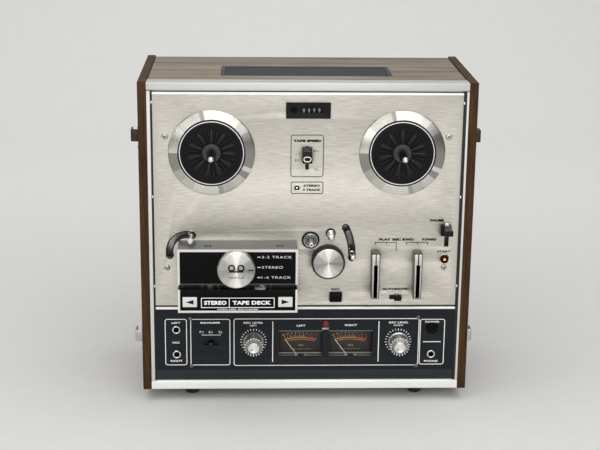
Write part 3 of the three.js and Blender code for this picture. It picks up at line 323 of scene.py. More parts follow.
WALNUT_UP = wood("walnut_upright", (0.094, 0.046, 0.018), (0.025, 0.012, 0.005), 2)
# The top and bottom panels' walnut is painted much lighter and greyer than the sides': painted light from
# overhead on the top.
WALNUT_ACROSS_LIT = wood("walnut_across_painted_light", (0.372, 0.308, 0.246), (0.142, 0.114, 0.088), 0)
DECK_METAL = brushed("deck_brushed", (0.605, 0.58, 0.522), 0.44, 0.56, 0.19, 0.15, 0.85)
TRIM_METAL = brushed("trim_silver", (0.71, 0.71, 0.685), 0.42, 0.55, 0.04, 0.2, 0.6)
# A darker copy of the trim silver for the top rail: painted shade on its upper face.
TRIM_SHADED_UPPER = brushed("trim_silver_upper_painted_shade", (0.67, 0.67, 0.65), 0.42, 0.55, 0.04, 0.2, 0.6)
COVER_METAL = brushed("cover_top_brushed", (0.24, 0.24, 0.232), 0.34, 0.48, 0.10, 0.1, 0.7)
# A near-white, less metallic copy of the silver for the chamfer strips, lips and bottom trim: painted
# highlight.
STRIP_METAL_LIT = brushed("strip_silver_painted_highlight", (0.93, 0.93, 0.905), 0.34, 0.46, 0.03, 0.2, 0.3)
# The reel rings' colour carries painted reflections: bright and dark wedges of reflected light set by
# angle.
SPUN_RING_PAINTED_REFLECTIONS = spun("spun_ring_painted_reflections", (0.76, 0.735, 0.685), 0.22, 0.32, painted_reflection_wedges=(
    (-180, 0.42), (-153, 0.66), (-136, 0.80), (-117, 1.0), (-79, 0.55), (-72, 0.74), (-56, 0.86),
    (-39, 0.42), (-29, 1.0), (-22, 0.40), (31, 0.66), (48, 0.88), (62, 1.02), (101, 0.42), (107, 0.70),
    (142, 0.98)), spread=0.35)
# The pinch roller cap and track knob carry painted reflections too. These wedges turn with the part.
SPUN_CAP_PAINTED_REFLECTIONS = spun("spun_cap_painted_reflections", (0.80, 0.785, 0.75), 0.24, 0.34, painted_reflection_wedges=(
    (-180, 0.55), (-150, 0.70), (-118, 0.95), (-98, 1.18), (-72, 0.80), (-40, 0.62), (-14, 0.40), (8, 0.55),
    (40, 0.78), (74, 1.12), (104, 0.84), (140, 0.66)), spread=6.0)
SPUN_BRIGHT = spun("spun_bright", (0.86, 0.85, 0.83), 0.28, 0.38, 0.08)
LEVER_FACE = metal("lever_face", (0.62, 0.60, 0.56), 0.22, 0.36, 0.10)
# The lever flanks are dark plastic darkened further: partly painted shade on the lever's sides.
LEVER_FLANK_SHADED = moulded("lever_flank_painted_shade", (0.075, 0.072, 0.068), 0.3, 0.45, 0.01, 0.15)
CHROME = metal("chrome", (0.80, 0.80, 0.80))
KNOB_SILVER = metal("knob_silver", (0.95, 0.94, 0.91), 0.26, 0.38, 0.05)
SATIN_STEEL = metal("satin_steel", (0.55, 0.55, 0.54), 0.25, 0.42, 0.08)
DARK_STEEL = metal("dark_steel", (0.22, 0.22, 0.22), 0.3, 0.5, 0.12)
BRONZE = metal("catch_bronze", (0.055, 0.048, 0.042), 0.28, 0.45, 0.25)
SLATE = moulded("slate_paint", (0.0085, 0.0118, 0.0156), 0.38, 0.50, 0.03, 0.10, Specular_IOR_Level=0.20)
SLATE_LOW = moulded("slate_lower", (0.019, 0.024, 0.030), 0.40, 0.52, 0.03, 0.10, Specular_IOR_Level=0.28)
SLATE_GRILLE = moulded("slate_grille", (0.030, 0.034, 0.040), 0.42, 0.58, 0.03, 0.12)
MOTOR_PAINT = moulded("motor_paint", (0.030, 0.033, 0.037), 0.4, 0.55, 0.05)
BLACK = moulded("black_plastic", (0.006, 0.006, 0.006), 0.32, 0.46, 0.02, Specular_IOR_Level=0.18)
BLACK_GLOSS = moulded("black_gloss", (0.003, 0.003, 0.003), 0.18, 0.30, 0.008, 0.10,
                      Specular_IOR_Level=0.08)
BLACK_MATTE = moulded("black_matte", (0.008, 0.008, 0.008), 0.55, 0.75, 0.04)
GREY_PLASTIC = moulded("grey_plastic", (0.055, 0.054, 0.053), 0.32, 0.45, 0.02)
RIB = moulded("reel_rib", (0.010, 0.0105, 0.011), 0.2, 0.32, 0.01)
HUB = moulded("reel_hub", (0.024, 0.024, 0.023), 0.32, 0.45, 0.02)
RUBBER = moulded("black_rubber", (0.014, 0.014, 0.014), 0.62, 0.82, 0.05)
IVORY = moulded("ivory_frame", (0.74, 0.73, 0.69), 0.28, 0.42, 0.01, 0.04)
METER_FACE = moulded("meter_face", (0.016, 0.012, 0.010), 0.42, 0.55, 0.01, 0.10)
METER_STRIP = moulded("meter_strip", (0.094, 0.089, 0.081), 0.35, 0.5, 0.01, 0.10)
BOARD = moulded("circuit_board", (0.21, 0.12, 0.045), 0.45, 0.6, 0.02, 0.20)
METER_LINE = moulded("meter_line", (0.42, 0.41, 0.37), 0.35, 0.5, 0.01, 0.08)
WHITE_INK = moulded("white_ink", (0.95, 0.95, 0.93), 0.5, 0.65, 0.004, 0.05)
BLACK_INK = moulded("black_ink", (0.006, 0.006, 0.007), 0.5, 0.65, 0.004, 0.15, Specular_IOR_Level=0.2)
ORANGE_INK = moulded("orange_ink", (0.74, 0.36, 0.10), 0.5, 0.65, 0.004, 0.08)
RED_INK = moulded("red_ink", (0.60, 0.09, 0.03), 0.5, 0.65, 0.004, 0.08)
AMBER_INK = moulded("amber_ink", (0.62, 0.43, 0.20), 0.5, 0.65, 0.004, 0.08)
NEEDLE = moulded("needle_white", (0.85, 0.83, 0.78), 0.4, 0.5, 0.004, 0.05)
LAMP_RED = moulded("lamp_red", (0.16, 0.006, 0.010), 0.08, 0.16, 0.004, 0.15)
LAMP_LIT = glowing("lamp_lit", (1.0, 0.20, 0.025), 1.7)
WHITE_PLASTIC = moulded("white_plastic", (0.78, 0.77, 0.73), 0.35, 0.5, 0.01, 0.05)


# ---------------------------------------------------------------- outlines
def circle(x, z, radius, sides=72, start=0.0, end=360.0):
    whole = end - start >= 360.0
    count = sides if whole else sides + 1
    step = math.radians(end - start) / sides
    first = math.radians(start)
    return [(x + radius * math.cos(first + i * step), z + radius * math.sin(first + i * step))
            for i in range(count)]


def polar(x, z, radius, degrees):
    angle = math.radians(degrees)
    return x + radius * math.cos(angle), z + radius * math.sin(angle)


def rectangle(x0, x1, z0, z1, corner=0.0, steps=6):
    if corner <= 0:
        return [(x0, z0), (x1, z0), (x1, z1), (x0, z1)]
    loop = []
    for cx, cz, start in ((x1 - corner, z0 + corner, -90), (x1 - corner, z1 - corner, 0),
                          (x0 + corner, z1 - corner, 90), (x0 + corner, z0 + corner, 180)):
        loop += circle(cx, cz, corner, steps, start, start + 90)
    return loop


def arc_slot(x, z, radius, width, start, end, steps=40):
    half = width / 2
    loop = circle(x, z, radius + half, steps, start, end)
    loop += circle(*polar(x, z, radius, end), half, 10, end, end + 180)
    loop += list(reversed(circle(x, z, radius - half, steps, start, end)))
    loop += circle(*polar(x, z, radius, start), half, 10, start + 180, start + 360)
    return loop


def capsule(x0, z0, x1, z1, width):
    heading = math.degrees(math.atan2(z1 - z0, x1 - x0))
    return (circle(x1, z1, width / 2, 14, heading - 90, heading + 90)
            + circle(x0, z0, width / 2, 14, heading + 90, heading + 270))


def rounded(points, radius, steps=3):
    """The same open line with each corner inside it turned into a small curve."""
    out = [tuple(points[0])]
    for a, b, c in zip(points, points[1:], points[2:]):
        a, b, c = Vector(a), Vector(b), Vector(c)
        back, on = a - b, c - b
        if back.length < 1e-6 or on.length < 1e-6 or back.angle(on) > math.radians(172):
            out.append(tuple(b))
            continue
        reach = min(radius, 0.45 * back.length, 0.45 * on.length)
        p, q = b + back.normalized() * reach, b + on.normalized() * reach
        for i in range(steps + 1):
            t = i / steps
            out.append(tuple(p * (1 - t) ** 2 + b * 2 * t * (1 - t) + q * t * t))
    out.append(tuple(points[-1]))
    return out


# ---------------------------------------------------------------- pieces
def curve_mesh(curve):
    """A curve's filled shape as a bmesh. The curve is removed."""
    maker = stand("outline", curve)
    flat = bpy.data.meshes.new_from_object(maker.evaluated_get(bpy.context.evaluated_depsgraph_get()))
    made = bmesh.new()
    made.from_mesh(flat)
    bpy.data.objects.remove(maker)
    bpy.data.curves.remove(curve)
    bpy.data.meshes.remove(flat)
    return made


class Piece:
    """Gathers shapes in millimetres and becomes one object that rides on a CAD body."""

    def __init__(self, name, body="cabinet", origin=(0.0, 0.0, 0.0)):
        self.name = name
        self.body = body
        self.origin = Vector(origin)
        self.mesh = bmesh.new()
        self.materials = []

    def add(self, part, material, turn=None):
        if material not in self.materials:
            self.materials.append(material)
        index = self.materials.index(material)
        if turn:
            bmesh.ops.transform(part, matrix=turn, verts=part.verts)
        for face in part.faces:
            face.material_index = index
            face.smooth = True
        scratch = bpy.data.meshes.new("scratch")
        part.to_mesh(scratch)
        part.free()
        self.mesh.from_mesh(scratch)
        bpy.data.meshes.remove(scratch)

    def block(self, x0, x1, y0, y1, z0, z1, material, bevel=0.3, segments=2, turn=None):
        part = bmesh.new()
        bmesh.ops.create_cube(part, size=1.0)
        for v in part.verts:
            v.co = Vector(((x0 + x1) / 2 + v.co.x * (x1 - x0), (y0 + y1) / 2 + v.co.y * (y1 - y0),
                           (z0 + z1) / 2 + v.co.z * (z1 - z0)))
        if bevel > 0:
            reach = min(bevel, 0.4 * min(x1 - x0, y1 - y0, z1 - z0))
            bmesh.ops.bevel(part, geom=part.edges[:], offset=reach, segments=segments,
                            profile=0.5, affect="EDGES")
        self.add(part, material, turn)

    def turned(self, x, z, profile, material, sides=64, softness=0.25, upright=None):
        """A turned shape about Y through (x, z). upright=(x, y) turns it about Z instead, and its
        profile is then [radius, z] pairs."""
        part = bmesh.new()

        def vertex(radius, along, angle):
            u, v = radius * math.cos(angle), radius * math.sin(angle)
            place = (upright[0] + u, upright[1] + v, along) if upright else (x + u, along, z + v)
            return part.verts.new(place)

        rows = [[vertex(radius, along, 2 * math.pi * i / sides) for i in range(sides)] if radius >= 1e-5
                else [vertex(0, along, 0)]
                for radius, along in (rounded(profile, softness) if softness else profile)]
        for first, second in zip(rows, rows[1:]):
            for i in range(sides):
                j = (i + 1) % sides
                corners = [first[i % len(first)], first[j % len(first)],
                           second[j % len(second)], second[i % len(second)]]
                corners = list(dict.fromkeys(corners))
                if len(corners) > 2:
                    part.faces.new(corners)
        bmesh.ops.remove_doubles(part, verts=part.verts, dist=1e-4)
        bmesh.ops.recalc_face_normals(part, faces=part.faces)
        self.add(part, material)

    def plate(self, loops, y0, y1, material, bevel=0.2, lying=False, turn=None):
        """A flat plate with holes, its outlines in XZ, or in XY with lying, y0 and y1 being heights."""
        curve = bpy.data.curves.new("outline", "CURVE")
        curve.dimensions = "2D"
        curve.fill_mode = "BOTH"
        curve.extrude = (y1 - y0) / 2 - bevel
        curve.bevel_depth = bevel
        curve.bevel_resolution = 1
        curve.offset = -bevel
        for loop in loops:
            spline = curve.splines.new("POLY")
            spline.points.add(len(loop) - 1)
            for point, (u, v) in zip(spline.points, loop):
                point.co = (u, v, 0.0, 1.0)
            spline.use_cyclic_u = True
        part = curve_mesh(curve)
        bmesh.ops.remove_doubles(part, verts=part.verts, dist=1e-4)
        middle = (y0 + y1) / 2
        for v in part.verts:
            u, w, depth = v.co
            v.co = (u, w, middle + depth) if lying else (u, middle - depth, w)
        bmesh.ops.recalc_face_normals(part, faces=part.faces)
        self.add(part, material, turn)

    def rail(self, outline, x0, x1, material, bevel=0.15):
        """A bar along X with its outline in YZ."""
        part = bmesh.new()
        ends = [[part.verts.new((x, y, z)) for y, z in outline] for x in (x0, x1)]
        part.faces.new(ends[0])
        part.faces.new(list(reversed(ends[1])))
        count = len(outline)
        for i in range(count):
            j = (i + 1) % count
            part.faces.new((ends[0][j], ends[0][i], ends[1][i], ends[1][j]))
        bmesh.ops.recalc_face_normals(part, faces=part.faces)
        if bevel:
            bmesh.ops.bevel(part, geom=part.edges[:], offset=bevel, segments=2, profile=0.5,
                            affect="EDGES", clamp_overlap=True)
        self.add(part, material)

    def screw(self, x, z, y, diameter, material=None, cross=True, turn=25.0, facing=-1):
        """A domed screw head on a face at depth y. facing is -1 to the front and 1 to the back."""
        r = diameter / 2
        rise = 0.26 * diameter
        self.turned(x, z, [(r, y), (r, y + facing * 0.35 * rise), (0.75 * r, y + facing * 0.85 * rise),
                           (0.3 * r, y + facing * rise), (0, y + facing * rise)], material or CHROME, 28,
                           0.3)
        if cross:
            for angle in (turn, turn + 90):
                self.block(x - 0.55 * r, x + 0.55 * r, *sorted((y, y + facing * 1.03 * rise)),
                           z - 0.11 * r, z + 0.11 * r, BLACK_MATTE, 0, turn=about(x, 0, z, angle))

    def done(self, slot, *replaced):
        for v in self.mesh.verts:
            v.co = (v.co - self.origin) * MM
        for edge in self.mesh.edges:
            if len(edge.link_faces) == 2 and edge.calc_face_angle(0.0) > 0.62:
                edge.smooth = False
        mesh = bpy.data.meshes.new(self.name)
        self.mesh.to_mesh(mesh)
        self.mesh.free()
        for material in self.materials:
            mesh.materials.append(material)
        obj = stand(self.name, mesh)
        obj.location = at(*self.origin)
        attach(obj, self.body)
        if replaced:
            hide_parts(*replaced)


class Print:
    """Flat printing just in front of a panel."""

    def __init__(self, name, material, y=PRINT_Y, body="cabinet", origin=(0.0, 0.0, 0.0)):
        self.piece = Piece(name, body, origin)
        self.material = material
        self.y = y

    def place(self, part):
        """Turns a flat shape's faces to the front and adds it."""
        part.normal_update()
        if sum(face.normal.y for face in part.faces) > 0:
            bmesh.ops.reverse_faces(part, faces=part.faces)
        self.piece.add(part, self.material)

    def fill(self, points):
        part = bmesh.new()
        part.faces.new([part.verts.new((x, self.y, z)) for x, z in points])
        self.place(part)

    def line(self, points, width, closed=False):
        half = width / 2
        count = len(points)
        left, right = [], []
        for i, here in enumerate(points):
            before = points[(i - 1) % count] if closed or i else None
            after = points[(i + 1) % count] if closed or i < count - 1 else None
            here = Vector(here)
            first = (here - Vector(before)).normalized() if before else None
            second = (Vector(after) - here).normalized() if after else None
            first, second = first or second, second or first
            mean = (first + second).normalized()
            side = Vector((-mean.y, mean.x))
            reach = half / max(0.35, mean.dot(second))
            left.append(here + side * reach)
            right.append(here - side * reach)
        part = bmesh.new()
        a = [part.verts.new((p.x, self.y, p.y)) for p in left]
        b = [part.verts.new((p.x, self.y, p.y)) for p in right]
        for i in range(count if closed else count - 1):
            j = (i + 1) % count
            part.faces.new((a[i], a[j], b[j], b[i]))
        self.place(part)

    def text(self, words, x, z, height, stretch=1.35, weight=0.012, align="CENTER", spacing=1.05):
        """Capitals height millimetres tall, centred on z, and on x unless align says otherwise."""
        curve = bpy.data.curves.new("words", "FONT")
        curve.body = words
        curve.offset = weight
        curve.space_character = spacing
        curve.resolution_u = 3
        part = curve_mesh(curve)
        xs = [v.co.x for v in part.verts]
        ys = [v.co.y for v in part.verts]
        scale = height / (max(ys) - min(ys))
        shift = {"CENTER": (max(xs) + min(xs)) / 2, "LEFT": min(xs), "RIGHT": max(xs)}[align]
        middle = (max(ys) + min(ys)) / 2
        for v in part.verts:
            v.co = (x + (v.co.x - shift) * scale * stretch, self.y, z + (v.co.y - middle) * scale)
        self.place(part)

    def fraction(self, whole, top, bottom, x, z, height):
        """A whole number with a small fraction after it, such as a tape speed."""
        self.text(whole, x, z, height, 1.3, 0.04, align="RIGHT")
        self.text(top, x + 0.25 * height, z + 0.28 * height, 0.5 * height, 1.3, align="LEFT")
        self.line([(x + 0.4 * height, z - 0.4 * height), (x + 1.1 * height, z + 0.4 * height)],
                  0.09 * height)
        self.text(bottom, x + 0.8 * height, z - 0.28 * height, 0.5 * height, 1.3, align="LEFT")

    def done(self, slot):
        self.piece.done(slot)


def turned_piece(name, body, point, slot, replaced, *shapes):
    """A piece of turned shapes about Y through a point. Each shape is a profile, its material, its
    number of sides and how far its corners are softened."""
    made = Piece(name, body, (point[0], 0, point[1]))
    for profile, material, sides, softness in shapes:
        made.turned(*point, profile, material, sides, softness)
    made.done(slot, *replaced)


def keep(material, *nodes, bevel=0.0):
    """CAD nodes that stay as they are, with a material and softened edges."""
    for name in nodes:
        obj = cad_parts[name]
        obj.data.materials.clear()
        obj.data.materials.append(material)
        if bevel:
            weld = obj.modifiers.new("weld", "WELD")
            weld.merge_threshold = 1e-5
            soft = obj.modifiers.new("soft_edges", "BEVEL")
            soft.width = bevel * MM
            soft.segments = 3
            soft.limit_method = "ANGLE"
            soft.angle_limit = math.radians(40)
            soft.harden_normals = False


# ---------------------------------------------------------------- cabinet
def build_cabinet():
    keep(WALNUT_UP, "side_panel_left", "side_panel_right", bevel=0.9)
    keep(WALNUT_ACROSS_LIT, "top_panel", "bottom_panel", bevel=0.5)
    keep(SATIN_STEEL, "chassis_plate", "capstan_flywheel", "motor_pulley", "head_block")
    keep(MOTOR_PAINT, "reel_motor_left", "reel_motor_right", "capstan_motor", "power_transformer",
         bevel=0.6)
    keep(RUBBER, "drive_belt")
    keep(BOARD, "circuit_board")
    build_trims()
    for row in ("front", "back"):
        for side, _ in SIDES:
            build_foot(f"foot_{row}_{side}")
    build_grille()
    for row in ("upper", "lower"):
        for side, sign in SIDES:
            build_catch(f"catch_{row}_{side}", sign, BRONZE if row == "upper" else SATIN_STEEL)


def build_trims():
    """The silver frame round the two front panels."""
    low, high = node_box("trim_top")
    top = Piece("trim_top_profile")
    top.rail([(0.0, low.z + 1.8), (0.0, high.z - 0.8), (0.8, high.z), (high.y, high.z), (high.y, low.z),
              (1.6, low.z)], low.x, high.x, TRIM_SHADED_UPPER)
    top.done("trim_silver", "trim_top")
    low, high = node_box("trim_bottom")
    bottom = Piece("trim_bottom_profile")
    bottom.rail([(0.0, low.z + 0.8), (0.0, high.z - 2.4), (2.2, high.z), (high.y, high.z), (high.y, low.z),
                 (0.8, low.z)], low.x, high.x, STRIP_METAL_LIT)
    bottom.done("trim_silver", "trim_bottom")
    for side, sign in SIDES:
        low, high = node_box(f"trim_{side}")
        upright = Piece(f"trim_{side}_profile")
        inner, outer = (low.x, high.x) if sign > 0 else (high.x, low.x)
        shadow_strip_width = 2.2 if sign > 0 else 0.7
        upright.block(*sorted((inner + sign * shadow_strip_width, outer)), low.y, high.y, low.z, high.z, TRIM_METAL, 0.6,
                      3)
        # A black matte strip between panel and trim: painted shadow in the gap, wider on the right.
        upright.block(*sorted((inner - sign * 1.5, inner + sign * shadow_strip_width)), 0.5, high.y, low.z, high.z,
                      BLACK_MATTE, 0.1)
        for z in (367.0, 251.0, 137.0):
            edge = sorted((inner - sign * 1.4, inner + sign * 0.3))
            upright.block(*edge, 0.3, 6.0, z - 1.7, z + 1.7, CHROME, 0.4)
        upright.done("trim_silver", f"trim_{side}")


def build_foot(node):
    low, high = node_box(node)
    x, y = (low.x + high.x) / 2, (low.y + high.y) / 2
    r = (high.x - low.x) / 2
    foot = Piece(f"{node}_rubber")
    foot.turned(0, 0, [(0, low.z + 3.2), (3.4, low.z + 3.2), (3.6, low.z), (6.4, low.z),
                       (0.84 * r, low.z + 2.0), (0.98 * r, low.z + 7.0), (r, high.z - 5.0),
                       (0.96 * r, high.z - 1.2), (0.90 * r, high.z), (0, high.z)], RUBBER, 48, 1.2,
                       upright=(x, y))
    foot.turned(0, 0, [(0, low.z + 2.0), (2.4, low.z + 2.2), (2.8, low.z + 3.3), (0, low.z + 3.4)],
                SATIN_STEEL, 24, 0.2, upright=(x, y))
    foot.done("black_rubber", node)


def build_grille():
    """A louvred plate let into the lid."""
    low, high = node_box("vent_grille")
    grille = Piece("vent_grille_louvres")
    rim = 4.2
    grille.plate([rectangle(low.x, high.x, low.y, high.y, 5.0),
                  rectangle(low.x + rim, high.x - rim, low.y + rim, high.y - rim, 2.0)], low.z, high.z,
                  SLATE_GRILLE, 0.35, lying=True)
    slats = 19
    pitch = (high.y - low.y - 2 * rim) / slats
    for i in range(slats):
        y = low.y + rim + (i + 0.5) * pitch
        lean = about(0, y, high.z - 1.6, -28, "X")
        grille.block(low.x + 2, high.x - 2, y - 0.30 * pitch, y + 0.30 * pitch, high.z - 2.4, high.z - 0.9,
                     SLATE_GRILLE, 0.25, turn=lean)
    for x in (-35, 35):
        grille.block(x - 1.0, x + 1.0, low.y + 2, high.y - 2, low.z, high.z - 2.6, SLATE_GRILLE, 0.2)
    grille.block(low.x + 3, high.x - 3, low.y + 3, high.y - 3, low.z, low.z + 0.4, BLACK_MATTE, 0.1)
    grille.done("slate", "vent_grille")


def build_catch(node, sign, material):
    """A screwed plate on the cabinet's side with a folded hook for the lid's latch."""
    low, high = node_box(node)
    wall = low.x if sign > 0 else high.x
    z = (low.z + high.z) / 2

    def span(start, end):
        return sorted((wall + sign * start, wall + sign * end))

    catch = Piece(f"{node}_hook")
    catch.block(*span(0, 1.6), 24, 62, z - 17, z + 17, material, 0.6, 3)
    catch.block(*span(0.8, 11.2), 40, 42.4, z - 7.6, z + 7.6, material, 0.8, 3)
    catch.block(*span(9.4, 11.6), 40, 57, z - 7.6, z + 7.6, material, 1.0, 3)
    catch.block(*span(1.4, 2.6), 45, 60, z - 10, z + 10, material, 0.5, 2)
    for y, dz in ((29, 12), (29, -12), (57, 12), (57, -12)):
        head = placed(wall + sign * 1.6, y, z + dz, 90 * sign, "Z")
        screw = bmesh.new()
        bmesh.ops.create_uvsphere(screw, u_segments=20, v_segments=10, radius=2.6)
        for v in screw.verts:
            v.co.y *= 0.35
        catch.add(screw, CHROME, head)
        catch.block(wall + sign * 2.5 - 0.15, wall + sign * 2.5 + 0.15, y - 1.8, y + 1.8, z + dz - 0.3,
                    z + dz + 0.3, BLACK_MATTE, 0)
    catch.done("chrome", node)


def build_rear():
    """The rear cover with its louvres, mains inlet and line sockets."""
    keep(SLATE, "rear_cover", bevel=0.4)
    low, high = node_box("rear_cover")
    back = high.y
    trim = Piece("rear_cover_details")
    for x in (-92, 92):
        for i in range(11):
            z = 232 + i * 11.0
            lean = about(0, back, z, 14, "X")
            trim.block(x - 58, x + 58, back - 0.4, back + 1.1, z - 2.6, z + 2.6, SLATE, 0.7, 3, turn=lean)
            trim.block(x - 56, x + 56, back - 0.2, back + 0.25, z - 5.2, z - 2.8, BLACK_MATTE, 0.1)
    for x in (low.x + 9, 0, high.x - 9):
        for z in (low.z + 9, (low.z + high.z) / 2 - 30, high.z - 9):
            trim.screw(x, z, back, 7.0, SATIN_STEEL, facing=1)
    trim.done("slate")

    sockets = Piece("line_sockets")
    sockets.plate([rectangle(-172, -100, 24, 76, 3.0)], back, back + 0.9, BLACK, 0.25)
    for x in (-158, -136):
        for z in (38, 61):
            sockets.turned(x, z, [(3.9, back + 0.8), (3.9, back + 2.8), (2.9, back + 2.8),
                                  (2.9, back + 0.9), (1.3, back + 0.9), (1.1, back + 2.4), (0, back + 2.4)],
                                  CHROME, 32, 0.15)
    sockets.turned(-114, 50, [(6.6, back + 0.8), (6.6, back + 2.0), (5.6, back + 2.0), (5.4, back + 1.0),
                              (0, back + 1.0)], SATIN_STEEL, 40, 0.2)
    for angle in range(0, 360, 72):
        x, z = polar(-114, 50, 3.2, angle + 54)
        sockets.turned(x, z, [(0.7, back + 0.9), (0.7, back + 1.3), (0, back + 1.3)], BLACK_MATTE, 12, 0)
    sockets.done("chrome")

    inlet_x, inlet_z = 133, 39
    inlet = Piece("inlet_pins")
    for dx in (-5.5, 5.5):
        inlet.block(inlet_x + dx - 2.2, inlet_x + dx + 2.2, back - 13, back - 3, inlet_z - 0.8,
                    inlet_z + 0.8, CHROME, 0.35)
    inlet.plate([rectangle(inlet_x - 18.5, inlet_x + 18.5, inlet_z - 14.5, inlet_z + 14.5, 3.0),
                 rectangle(inlet_x - 15, inlet_x + 15, inlet_z - 11, inlet_z + 11, 1.0)],
                back, back + 1.2, BLACK, 0.3)
    inlet.done("chrome")


# ---------------------------------------------------------------- front panels
def arm_slots(width):
    """The curved slots that the two tension arms' pins run in."""
    return (arc_slot(*LEFT_ARM_PIVOT, LEFT_ARM_REACH, width, *LEFT_SLOT_ENDS),
            arc_slot(*RIGHT_ARM_PIVOT, RIGHT_ARM_REACH, width, *RIGHT_SLOT_ENDS))


def build_deck_panel():
    low, high = node_box("deck_panel")
    top = high.z - 2.7
    panel = Piece("deck_panel_sheet")
    holes = [circle(x, REEL_Z, 40.3, 96) for x in REEL_X.values()]
    holes += [
        *arm_slots(7),
        arc_slot(*PINCH_PIVOT, 45.0, 9, 38.6, 54.6, 10),
        circle(*CAPSTAN, 10.8, 64),
        rectangle(-10.4, 18.4, 350.2, 365.8),
        circle(*COUNTER_RESET, 3.6, 32),
        rectangle(-2.9, 1.3, 285.3, 314, 1.0),
        *(circle(x, LEVER_PIVOT_Z, 5.4, 32) for x in LEVER_X.values()),
        rectangle(103.4, 118.6, 119.5, 125.3, 1.2),
        rectangle(169.3, 174.7, 188, 219, 1.2),
        circle(*START_BUTTON, 5.1, 40),
        rectangle(29.2, 44.4, 116.7, 129.3, 0.8),
    ]
    panel.plate([rectangle(low.x, high.x, low.z, top, 0.6)] + holes, 0, high.y, DECK_METAL, 0.3)
    panel.rail([(0.05, top), (-0.5, top + 0.2), (1.3, high.z), (high.y, high.z), (high.y, top)],
               low.x, high.x, STRIP_METAL_LIT, 0.1)
    panel.done("brushed_aluminium", "deck_panel")

    screws = Piece("deck_screws")
    for i, (x, z) in enumerate(((-171.5, 325.9), (169.6, 326.2), (-171.3, 161.3), (170, 161.4))):
        screws.screw(x, z, 0, 7.6, SATIN_STEEL, turn=20 + 31 * i)
    screws.done("chrome")

    rims = Print("slot_rims", BLACK_INK)
    for outline in arm_slots(7.9):
        rims.line(outline, 1.3, True)
    rims.done("black_plastic")

    liner = Piece("slot_liners")
    outer = (arc_slot(*LEFT_ARM_PIVOT, LEFT_ARM_REACH, 9.5, 70, 197),
             arc_slot(*RIGHT_ARM_PIVOT, RIGHT_ARM_REACH, 9.5, -3.5, 27.8))
    for loops in zip(outer, arm_slots(6.9)):
        liner.plate(loops, 4.0, 9.6, BLACK_MATTE, 0.1)
    liner.done("black_plastic")
    print_deck_labels()


def print_deck_labels():
    ink = Print("deck_labels", BLACK_INK)
    for box, corner in (((-20.3, 18.7, 276.5, 328), 3.2), ((-19.7, 18.8, 255.4, 269.9), 1.8)):
        ink.line(rectangle(*box, corner), 0.95, True)
    for speed, x, z in (("712", 9.4, 308.4), ("334", -13.6, 296.9), ("178", 9.4, 285.5)):
        ink.fraction(*speed, x, z, 2.8)
    for words, x, z, height, stretch, weight in (
            ("TAPE SPEED", -0.8, 320.9, 3.1, 1.7, 0.09), ("PAUSE", 159.4, 221.6, 3.0, 1.65, 0.09),
            ("PLAY", 96.2, 197.2, 3.1, 1.6, 0.09), ("REC", 110.6, 197.2, 3.1, 1.6, 0.09),
            ("RWD", 124.7, 197.2, 3.1, 1.6, 0.09), ("F.FWD", 150.8, 197.2, 3.1, 1.6, 0.09),
            ("STEREO", 5.2, 265.3, 2.8, 1.6, 0.06), ("4 TRACK", 5.2, 260.1, 2.8, 1.5, 0.06),
            ("REC", 36.7, 132.7, 2.7, 1.7, 0.05), ("START", 169.2, 181.8, 2.7, 1.6, 0.05),
            ("AUTOMATIC", 110.9, 133.1, 3.0, 1.6, 0.09), ("STOP", 105.4, 129.3, 1.5, 1.5, 0.0),
            ("OFF", 117.0, 129.3, 1.5, 1.5, 0.0)):
        ink.text(words, x, z, height, stretch, weight)
    low, high = 190.4, 193.5
    for left, middle, right, foot in ((84.3, 98.2, 110.4, 181.8), (122.7, 136.4, 148.8, low)):
        ink.line([(left, low), (left, high), (right, high), (right, foot)], 0.85)
        ink.line([(middle, high), (middle, low)], 0.85)
    ink.line([(111.0, 130.8), (111.0, 127.0)], 0.35)
    ink.done("black_plastic")

    emblem = Piece("badge_emblem")
    emblem.turned(-12.8, 262.6, [(4.3, 0), (4.3, -0.5), (3.7, -0.8), (3.1, -0.5)], CHROME, 48, 0.12)
    emblem.turned(-12.8, 262.6, [(3.1, -0.5), (2.9, -0.3), (1.7, -0.3), (1.5, -0.5)], BLACK_GLOSS, 48, 0.05)
    emblem.turned(-12.8, 262.6, [(1.5, -0.5), (1.2, -1.0), (0, -1.2)], CHROME, 48, 0.12)
    emblem.done("steel")


